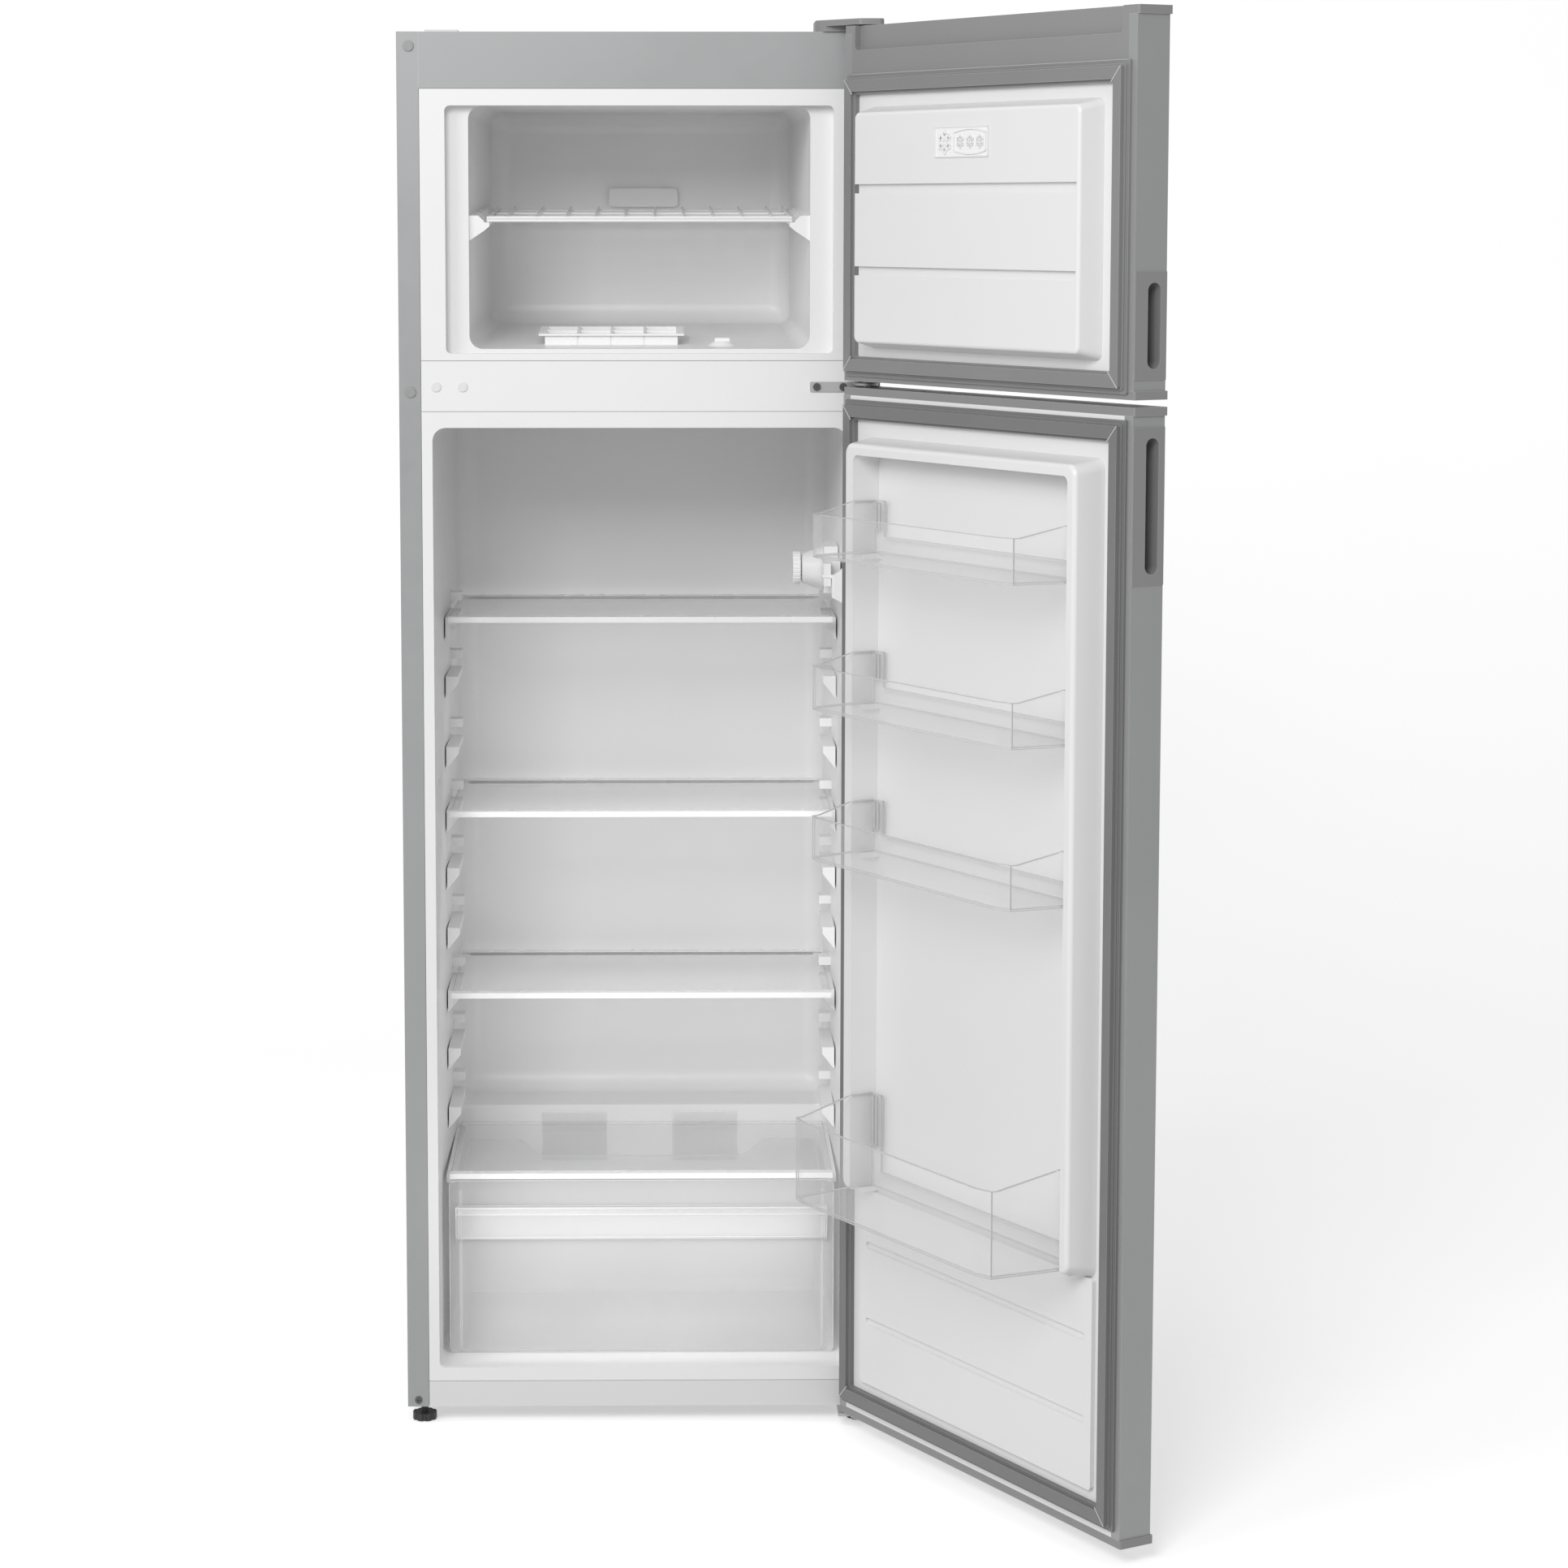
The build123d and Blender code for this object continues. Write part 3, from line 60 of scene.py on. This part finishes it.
ACRYLIC_IOR = 1.49
FINE_BUMP = 0.0003
FOAM_BUMP = 0.0008
GREY_JOINT = (0.30, 0.30, 0.30, 1)
PLUG_WHITE = (0.72, 0.72, 0.72, 1)
FOAM_LOW = (0.70, 0.63, 0.40)
FOAM_HIGH = (0.80, 0.74, 0.50)
# The dot product of the bevelled and the true normal on a flat face and on a rounded edge
EDGE_STARTS = 0.97
EDGE_FULL = 0.80
WORLD_STRENGTH = 0.54
FLOOR_GLOW = 0.35


class Graph:
    """A material's node tree, with short calls for the nodes used here."""

    def __init__(self, name):
        self.mat = bpy.data.materials.new(name)
        self.mat.use_nodes = True
        self.tree = self.mat.node_tree
        self.tree.nodes.clear()
        self.out = self.tree.nodes.new("ShaderNodeOutputMaterial")
        self.coords = self.tree.nodes.new("ShaderNodeTexCoord").outputs["Object"]

    def node(self, kind, **inputs):
        made = self.tree.nodes.new(kind)
        for key, value in inputs.items():
            self.set(made, key.replace("_", " "), value)
        return made

    def set(self, made, key, value):
        if isinstance(value, bpy.types.NodeSocket):
            self.tree.links.new(value, made.inputs[key])
        else:
            made.inputs[key].default_value = value

    def noise(self, scale, detail=3.0):
        made = self.node("ShaderNodeTexNoise", Vector=self.coords, Scale=scale, Detail=detail)
        return made.outputs["Fac"]

    def ramp(self, fac, stops):
        made = self.node("ShaderNodeValToRGB", Fac=fac)
        ramp = made.color_ramp
        while len(ramp.elements) < len(stops):
            ramp.elements.new(0.5)
        for element, (place, value) in zip(ramp.elements, stops):
            element.position = place
            element.color = (value, value, value, 1) if isinstance(value, float) else (*value, 1)
        return made.outputs["Color"]

    def mix(self, fac, a, b):
        made = self.tree.nodes.new("ShaderNodeMix")
        made.data_type = "RGBA"
        self.set_index(made, 0, fac)
        self.set_index(made, 6, a)
        self.set_index(made, 7, b)
        return made.outputs[2]

    def set_index(self, made, index, value):
        if isinstance(value, bpy.types.NodeSocket):
            self.tree.links.new(value, made.inputs[index])
        else:
            made.inputs[index].default_value = value

    def math(self, operation, a, b=0.0):
        made = self.tree.nodes.new("ShaderNodeMath")
        made.operation = operation
        self.set_index(made, 0, a)
        self.set_index(made, 1, b)
        return made.outputs[0]

    def axis(self, name):
        made = self.node("ShaderNodeSeparateXYZ", Vector=self.coords)
        return made.outputs[name]

    def between(self, value, low, high):
        """0 below low, 1 above high, straight between."""
        made = self.tree.nodes.new("ShaderNodeMapRange")
        made.clamp = True
        self.set_index(made, 0, value)
        self.set_index(made, 1, low)
        self.set_index(made, 2, high)
        return made.outputs[0]

    def bump(self, height, strength, distance):
        made = self.node("ShaderNodeBump", Height=height, Strength=strength, Distance=distance)
        return made.outputs["Normal"]

    def finish(self, shader):
        self.tree.links.new(shader, self.out.inputs["Surface"])
        return self.mat


def grey(value, tint=(1.0, 1.0, 1.0)):
    return tuple(value * t for t in tint)


def edge_mask(g, radius):
    """1 along the moulded edges of a piece and 0 on its flats."""
    rounded = g.tree.nodes.new("ShaderNodeBevel")
    rounded.samples = 6
    rounded.inputs["Radius"].default_value = radius
    flat = g.tree.nodes.new("ShaderNodeNewGeometry").outputs["True Normal"]
    dot = g.tree.nodes.new("ShaderNodeVectorMath")
    dot.operation = "DOT_PRODUCT"
    g.tree.links.new(rounded.outputs["Normal"], dot.inputs[0])
    g.tree.links.new(flat, dot.inputs[1])
    return g.between(dot.outputs["Value"], EDGE_STARTS, EDGE_FULL)


def solid(
    name, colour, rough, metal=0.0, vary=0.03, bump=0.05, scale=40.0, fine=900.0, edge=None, edge_radius=0.001
):
    """An opaque moulded, painted or plated surface: soft mottling, uneven gloss, a fine grain and, given an edge
    tone, a painted highlight along its edges (painted shade where that tone is darker).
    """
    g = Graph(name)
    cloud = g.noise(scale / 8, 2.0)
    low = tuple(max(0.0, c * (1 - vary)) for c in colour)
    high = tuple(min(1.0, c * (1 + vary)) for c in colour)
    tone = g.ramp(cloud, [(0.25, low), (0.75, high)])
    if edge is not None:
        # Painted light along the moulded edges: a lighter edge tone paints a highlight, a darker one paints shade
        tone = g.mix(edge_mask(g, edge_radius), tone, (*grey(edge), 1))
    gloss = g.ramp(g.noise(scale, 2.0), [(0.25, max(0.02, rough - 0.04)), (0.75, min(1.0, rough + 0.04))])
    shader = g.node("ShaderNodeBsdfPrincipled", Base_Color=tone, Roughness=gloss, Metallic=metal)
    if bump:
        g.set(shader, "Normal", g.bump(g.noise(fine, 2.0), bump, FINE_BUMP))
    return g.finish(shader.outputs["BSDF"])


def clear(name, body, rough, thin, edge_on, line, edge_shade_tone, radius=0.0022, band=None):
    """A thin clear moulding: denser seen edge on, a painted sheen; denser along its moulded edges, drawn there in
    a darker tone as painted shade; and denser in a band of levels.

    band holds four rising levels, over which the band fades in and out, and the band's own alpha.
    """
    g = Graph(name)
    facing = g.node("ShaderNodeLayerWeight", Blend=0.35).outputs["Facing"]
    mask = edge_mask(g, radius)
    cloud = g.ramp(g.noise(9.0, 2.0), [(0.3, 0.0), (0.7, 0.02)])
    # Denser seen edge on: a painted sheen for the reflection a clear wall gives at a glancing angle
    grazing = g.math("MULTIPLY", g.math("POWER", facing, 2.2), edge_on)
    sheer = g.math("ADD", grazing, g.math("ADD", cloud, thin))
    alpha = g.math("MINIMUM", g.math("ADD", sheer, g.math("MULTIPLY", mask, line)), 1.0)
    if band:
        foot, bottom, top, head, dense = band
        level = g.axis("Z")
        inside = g.math("MULTIPLY", g.between(level, foot, bottom), g.between(level, head, top))
        alpha = g.math("MAXIMUM", alpha, g.math("MULTIPLY", inside, dense))
    # Painted shade: the moulded edges drawn as darker lines, for the dark lines that refraction gives along a
    # clear wall's edges
    tone = g.mix(mask, (*body, 1), (*grey(edge_shade_tone), 1))
    gloss = g.ramp(g.noise(40.0), [(0.3, rough), (0.7, rough + 0.04)])
    shell = g.node("ShaderNodeBsdfPrincipled", Base_Color=tone, Roughness=gloss, Alpha=alpha, IOR=ACRYLIC_IOR)
    return g.finish(shell.outputs["BSDF"])


def insulation(name):
    """Cream foam, grey where it closes the joints between the panels of the front."""
    g = Graph(name)
    joint_depth, blend = 0.006, 0.002
    cream = g.ramp(g.noise(80.0), [(0.3, FOAM_LOW), (0.7, FOAM_HIGH)])
    front = g.between(g.axis("Y"), joint_depth, joint_depth - blend)
    tone = g.mix(front, cream, GREY_JOINT)
    shader = g.node("ShaderNodeBsdfPrincipled", Base_Color=tone, Roughness=0.9)
    g.set(shader, "Normal", g.bump(g.noise(300.0), 0.6, FOAM_BUMP))
    return g.finish(shader.outputs["BSDF"])


def plug_plastic(name, flange_x):
    """White plastic, but grey beyond the place where the painted flange begins."""
    g = Graph(name)
    half_blend = 0.0005
    painted = g.between(g.axis("X"), flange_x + half_blend, flange_x - half_blend)
    tone = g.mix(painted, PLUG_WHITE, GREY_JOINT)
    gloss = g.ramp(g.noise(40.0), [(0.3, 0.32), (0.7, 0.38)])
    shader = g.node("ShaderNodeBsdfPrincipled", Base_Color=tone, Roughness=gloss)
    return g.finish(shader.outputs["BSDF"])


# The even, faintly grained surface of the white mouldings
moulded = {"vary": 0.01, "bump": 0.02, "scale": 24.0, "fine": 500.0}

# The edge tones of the silver paint, the grey plastic and both gaskets below paint a highlight along their edges
paint = solid("silver_paint", grey(0.33, (0.99, 1.0, 1.01)), 0.38, metal=0.25, scale=40.0, fine=700.0, edge=0.42)
white = solid("white_liner", grey(0.80), 0.35, **moulded)
white_trim = solid("white_trim", grey(0.86), 0.28, **moulded)
door_white = solid("door_liner", grey(0.78), 0.35, **moulded)
grey_plastic = solid("grey_plastic", grey(0.25), 0.42, bump=0.12, fine=1500.0, edge=0.40)
# The freezer door's gasket is the same rubber as the fridge door's, painted lighter for the stronger light that
# falls on it
lit_gasket_rubber = solid("gasket_painted_lit", grey(0.22), 0.45, vary=0.05, bump=0.05, fine=600.0, edge=0.42)
gasket = solid("gasket_rubber", grey(0.17), 0.45, vary=0.05, bump=0.05, fine=600.0, edge=0.34)
black_rubber = solid("black_rubber", grey(0.02), 0.65, bump=0.2)
black_plastic = solid("black_plastic", grey(0.025), 0.5, bump=0.2)
black_steel = solid("black_enamel", grey(0.022), 0.3, bump=0.05)
plugs = plug_plastic("plug_plastic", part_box("middle_rail")[0][0])
kick_white = solid("kick_white", grey(0.70), 0.4, **moulded)
screw_steel = solid("screw_steel", grey(0.10), 0.35, metal=0.6, vary=0.1, bump=0.05)
zinc = solid("zinc_plate", grey(0.42), 0.38, metal=0.6, vary=0.12, bump=0.1)
wire = solid("white_wire", grey(0.80), 0.3, vary=0.02, bump=0.03)
foam = insulation("foam")
# The emblem's darker edge tone paints shade along the edges of its relief
emblem_white = solid("emblem_white", grey(0.86), 0.35, vary=0.01, bump=0.02, edge=0.55, edge_radius=0.0006)
# Painted highlight: grey beads laid inside the clear mouldings along their sharp edges
bead_highlight = solid("bead_highlight", grey(0.58), 0.15, vary=0.05, bump=0.0)
# The last tone of each clear finish is that of its painted-shade edge lines
tab_plastic = clear("tab_plastic", grey(0.95), 0.4, 0.10, 0.0, 0.5, 0.85)
# The mitre lines' light grey paints a highlight on the gaskets' welds
mitre_rubber_highlight = solid("mitre_rubber_highlight", grey(0.50), 0.4, vary=0.04, bump=0.04)
clear_plastic = clear("clear_plastic", grey(0.92), 0.06, 0.05, 0.40, 0.75, 0.50)
low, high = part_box("crisper_drawer")
drawer_high = high[2] - low[2]
grip_low = low[2] + 0.67 * drawer_high
grip_high = low[2] + 0.85 * drawer_high
grip_fade = 0.004
# The grip band is denser and whiter: its double wall is milkier, and the band also paints the bright streak of
# light reflected along the grip
grip_milk_and_sheen_alpha = 0.22
grip_milk_and_sheen_band = (grip_low, grip_low + grip_fade, grip_high - grip_fade, grip_high, grip_milk_and_sheen_alpha)
drawer_plastic = clear("drawer_plastic", grey(0.95), 0.10, 0.20, 0.35, 0.7, 0.55, band=grip_milk_and_sheen_band)
lens = clear("lamp_lens", grey(0.90), 0.25, 0.80, 0.2, 0.2, 0.7)
glass = clear("shelf_glass", grey(0.93, (0.985, 1.0, 0.99)), 0.05, 0.06, 0.75, 0.55, 0.25)


def dress(material, *names):
    for name in names:
        for place in nodes[name].material_slots:
            place.material = material


dress(paint, "cabinet_wrap", "top_front_rail", "freezer_door_panel", "fridge_door_panel", "back_panel")
dress(zinc, "base_plate", "top_hinge", "middle_hinge", "bottom_hinge")
dress(screw_steel, "front_screws")
dress(black_steel, "compressor", "condenser")
dress(white, "freezer_liner", "fridge_liner", "middle_rail")
dress(kick_white, "kick_strip")
dress(door_white, "freezer_door_liner", "fridge_door_liner")
dress(
    white_trim, "freezer_shelf_rails", "drain_plug", "crisper_cover_trim", "control_housing",
    "light_switch", "thermostat_dial", "shelf_1_trim", "shelf_2_trim", "shelf_3_trim", "ice_tray",
)
dress(
    grey_plastic, "top_hinge_cover", "freezer_door_top_cap", "freezer_door_bottom_cap", "fridge_door_top_cap",
    "fridge_door_bottom_cap", "freezer_door_grip", "fridge_door_grip",
)
dress(
    black_plastic, "evaporation_tray", "condenser_spacers", "foot_left", "foot_right",
    "roller_left", "roller_right",
)
dress(drawer_plastic, "crisper_drawer")
dress(clear_plastic, "door_bin_1", "door_bin_2", "door_bin_3", "door_bin_4")
dress(plugs, "blank_plugs")
dress(lens, "lamp_lens")
dress(glass, "crisper_cover_glass", "shelf_1_glass", "shelf_2_glass", "shelf_3_glass")
dress(wire, "freezer_shelf")
dress(lit_gasket_rubber, "freezer_door_gasket")
dress(gasket, "fridge_door_gasket")
dress(black_rubber, "compressor_grommets", "cord_gland")
dress(foam, "cabinet_foam", "freezer_door_foam", "fridge_door_foam")

# ---------------------------------------------------------------- new pieces


def piece(name, mesh, material, body):
    """Finishes a bmesh as a piece that rides on a body of the frame."""
    bmesh.ops.recalc_face_normals(mesh, faces=mesh.faces)
    data = bpy.data.meshes.new(name)
    mesh.to_mesh(data)
    mesh.free()
    data.materials.append(material)
    made = bpy.data.objects.new(name, data)
    scene.collection.objects.link(made)
    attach(made, body)
    return made


def prism(mesh, outline, low, high, place):
    """A closed prism over a flat outline; place turns (across, up, out) into the frame's metres."""
    near = [mesh.verts.new(place(a, b, low)) for a, b in outline]
    far = [mesh.verts.new(place(a, b, high)) for a, b in outline]
    mesh.faces.new(near)
    mesh.faces.new(far[::-1])
    for n in range(len(outline)):
        m = (n + 1) % len(outline)
        mesh.faces.new((near[n], near[m], far[m], far[n]))


def bar(mesh, start, end, width, low, high, place):
    """A straight rib between two points of a flat drawing."""
    along = (Vector(end) - Vector(start)).normalized() * width / 2
    side = Vector((-along.y, along.x))
    a, b = Vector(start), Vector(end)
    prism(mesh, [tuple(v) for v in (a - side, b - side, b + side, a + side)], low, high, place)


# The open door's own directions, from its hinge axis and the angle at which it rests
hinge = Vector((0.253, -0.032, 0.0))
rest_angle = math.radians(119.6)
hinge_to_edge = 0.016
axis_to_inner = 0.020
turn = Matrix.Rotation(rest_angle, 3, "Z")


def on_door(reach):
    """Places (in from the hinge edge, height, out from the inner face plus reach) on the open door."""
    def place(inward, up, out):
        closed = Vector((hinge_to_edge - inward, axis_to_inner + reach + out, 0))
        spot = hinge + turn @ closed
        return (spot.x, spot.y, up)
    return place


boss_reach = 0.026
emblem_u = (0.220, 0.318)
liner_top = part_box("freezer_door_liner")[1][2]
emblem_z = (liner_top - 0.093, liner_top - 0.062)


def flake(mesh, centre, arm, width, low, high, place):
    """A snowflake of six arms, each with a pair of short branches."""
    for n in range(6):
        angle = math.pi / 6 + n * math.pi / 3
        way = Vector((math.cos(angle), math.sin(angle)))
        tip = Vector(centre) + way * arm
        bar(mesh, Vector(centre) + way * width * 0.6, tip, width, low, high, place)
        fork = Vector(centre) + way * arm * 0.55
        for turn_by in (-1, 1):
            branch = angle + turn_by * math.radians(50)
            end = fork + Vector((math.cos(branch), math.sin(branch))) * arm * 0.36
            bar(mesh, fork, end, width * 0.85, low, high, place)


def emblem():
    """The raised freezer mark: a plate with one large snowflake, and three small ones in a frame."""
    place = on_door(boss_reach)
    made = bmesh.new()
    middle_z = (emblem_z[0] + emblem_z[1]) / 2
    (u0, u1), (z0, z1) = emblem_u, emblem_z
    plate, relief, rim = 0.0006, 0.0018, 0.0012
    sunk, root, rim_drop = 0.0003, plate - 0.0002, 0.0004
    corners = [(u0, z0), (u1, z0), (u1, z1), (u0, z1)]
    prism(made, corners, -sunk, plate, place)
    for start, end in zip(corners, corners[1:] + corners[:1]):
        bar(made, start, end, rim, root, relief - rim_drop, place)
    flake(made, (u0 + 0.019, middle_z), 0.013, 0.0032, root, relief, place)
    frame_mid, frame_half, frame_high, bulge, steps = u0 + 0.066, 0.029, 0.0095, 0.0035, 10
    ring = []
    for n in range(steps + 1):
        t = -1 + 2 * n / steps
        ring.append((frame_mid + frame_half * t, middle_z - frame_high - bulge * (1 - t * t)))
    for n in range(steps + 1):
        t = 1 - 2 * n / steps
        ring.append((frame_mid + frame_half * t, middle_z + frame_high + bulge * (1 - t * t)))
    for a, b in zip(ring, ring[1:] + ring[:1]):
        bar(made, a, b, rim, root, relief, place)
    pitch = 0.018
    for n in (-1, 0, 1):
        flake(made, (frame_mid + n * pitch, middle_z), 0.0072, 0.0019, root, relief, place)
    return piece("freezer_emblem", made, emblem_white, "freezer_door")


def cover_stops():
    """Two translucent tabs that hold the rear edge of the drawer's glass cover."""
    low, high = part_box("crisper_cover_glass")
    made = bmesh.new()
    half_width, thick, above, below, behind = 0.040, 0.0015, 0.012, 0.045, 0.001
    near = high[1] + behind
    for x in (-0.0835, 0.077):
        outline = [(x - half_width, low[2] - below), (x + half_width, low[2] - below)]
        outline += [(x + half_width, high[2] + above), (x - half_width, high[2] + above)]
        prism(made, outline, near, near + thick, lambda across, up, out: (across, out, up))
    return piece("cover_stops", made, tab_plastic, "cabinet")


def gasket_mitres(door):
    """The welded mitres at a door gasket's four corners: a fine raised line across each, in a lighter grey that
    paints its highlight.
    """
    low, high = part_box(door + "_gasket")
    place = on_door(0.0)
    made = bmesh.new()
    edge_in, edge_out, end_gap = 0.014, 0.524, 0.006
    band, face, line = 0.016, 0.0102, 0.0012
    sunk, proud = 0.0004, 0.0002
    for u, across in ((edge_in, 1), (edge_out, -1)):
        for z, upward in ((low[2] + end_gap, 1), (high[2] - end_gap, -1)):
            end = (u + across * band, z + upward * band)
            bar(made, (u, z), end, line, face - sunk, face + proud, place)
    return piece(door + "_mitres", made, mitre_rubber_highlight, door)


def painted_edge_beads(name, shortest, radius=0.0006):
    """Painted highlights: grey beads just inside a clear moulding's surface along its sharp edges, for the bright
    lines that light gives there.
    """
    joined, sharpest, depth = 1e-6, math.radians(25), 1.3 * radius
    source = nodes[name]
    shape = bmesh.new()
    shape.from_mesh(source.data)
    shape.transform(source.matrix_world)
    bmesh.ops.remove_doubles(shape, verts=shape.verts, dist=joined)
    made = bmesh.new()
    for edge in shape.edges:
        if len(edge.link_faces) != 2 or edge.calc_length() < shortest:
            continue
        one, two = (face.normal for face in edge.link_faces)
        if one.angle(two, 0.0) < sharpest:
            continue
        inward = -(one + two).normalized() * depth
        start, end = (vert.co + inward for vert in edge.verts)
        along = (end - start).normalized()
        side = along.cross(inward).normalized() * radius
        lift = along.cross(side).normalized() * radius
        rings = []
        for centre in (start, end):
            rings.append([made.verts.new(centre + step) for step in (side, lift, -side, -lift)])
        for n in range(4):
            m = (n + 1) % 4
            made.faces.new((rings[0][n], rings[0][m], rings[1][m], rings[1][n]))
        made.faces.new(rings[0][::-1])
        made.faces.new(rings[1])
    shape.free()
    return piece(name + "_edges", made, bead_highlight, name)


emblem()
cover_stops()
for number in (1, 2, 3, 4):
    painted_edge_beads(f"door_bin_{number}", 0.006)
painted_edge_beads("crisper_drawer", 0.010)
gasket_mitres("freezer_door")
gasket_mitres("fridge_door")

# ---------------------------------------------------------------- stage

g = Graph("studio_floor")
tone = g.ramp(g.noise(1.2, 2.0), [(0.3, 0.95), (0.7, 0.97)])
shader = g.node("ShaderNodeBsdfPrincipled", Base_Color=tone, Roughness=0.9)
shader.inputs["Emission Color"].default_value = (1, 1, 1, 1)
shader.inputs["Emission Strength"].default_value = FLOOR_GLOW
floor_material = g.finish(shader.outputs["BSDF"])

sweep = bmesh.new()
radius, front, back, wide, high, steps = 2.0, -8.0, 4.0, 9.0, 7.0, 12
floor_drop = 0.0005
profile = [(front, 0.0), (back - radius, 0.0)]
for n in range(1, steps + 1):
    angle = math.pi / 2 * n / steps
    profile.append((back - radius + radius * math.sin(angle), radius - radius * math.cos(angle)))
profile.append((back, high))
rows = [[sweep.verts.new((x, y, z - floor_drop)) for x in (-wide, wide)] for y, z in profile]
for a, b in zip(rows, rows[1:]):
    sweep.faces.new((a[0], a[1], b[1], b[0])).smooth = True
mesh = bpy.data.meshes.new("studio_sweep")
sweep.to_mesh(mesh)
sweep.free()
mesh.materials.append(floor_material)
backdrop = bpy.data.objects.new("studio_sweep", mesh)
scene.collection.objects.link(backdrop)
backdrop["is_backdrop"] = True
# The floor's own brightness doesn't reach the undersides
backdrop.visible_diffuse = False

world = bpy.data.worlds.new("studio_world")
world.use_nodes = True
background = world.node_tree.nodes["Background"]
background.inputs["Color"].default_value = (1, 1, 1, 1)
background.inputs["Strength"].default_value = WORLD_STRENGTH
scene.world = world


def area(name, place, target, size, power):
    light = bpy.data.lights.new(name, "AREA")
    light.shape = "RECTANGLE"
    light.size, light.size_y = size
    light.energy = power
    made = bpy.data.objects.new(name, light)
    made.location = place
    made.rotation_euler = (Vector(target) - Vector(place)).to_track_quat("-Z", "Y").to_euler()
    scene.collection.objects.link(made)
    return made


# A broad high key from the front, a fill for the doors, and a weak lamp in each compartment's mouth
area("key", (-0.9, -4.0, 3.0), (0.0, 0.2, 0.9), (1.6, 1.6), 84)
area("left", (-3.0, -2.6, 2.5), (0.35, -0.3, 1.1), (1.6, 1.6), 38)


def glow(name, node, y, drop, aim, size, power):
    """A weak lamp at y in the mouth of a compartment, below its middle by drop and aimed lower by aim."""
    low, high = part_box(node)
    middle = (low[2] + high[2]) / 2
    area(name, (0, y, middle - drop), (0, 0.5, middle - aim), size, power)


glow("fridge_glow", "fridge_liner", 0.03, 0.08, 0.25, (0.40, 0.72), 0.36)
glow("freezer_glow", "freezer_liner", 0.03, 0.0, 0.02, (0.34, 0.20), 0.042)
drawer_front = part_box("crisper_drawer")[0][1]
glow("drawer_glow", "crisper_drawer", drawer_front - 0.025, 0.0, 0.02, (0.40, 0.17), 0.135)

camera_data = bpy.data.cameras.new("camera")
camera_data.sensor_width = 36
camera_data.lens = 88.7
camera_data.shift_x = 0.05
camera_data.shift_y = -0.0866
camera_data.clip_start = 0.1
camera_data.clip_end = 60
camera = bpy.data.objects.new("camera", camera_data)
camera.location = (0.0170, -4.3419, 1.3915)
pitch_down, yaw = 6.452, -0.751
camera.rotation_euler = (math.radians(90 - pitch_down), 0, math.radians(yaw))
scene.collection.objects.link(camera)
scene.camera = camera

low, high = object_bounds()
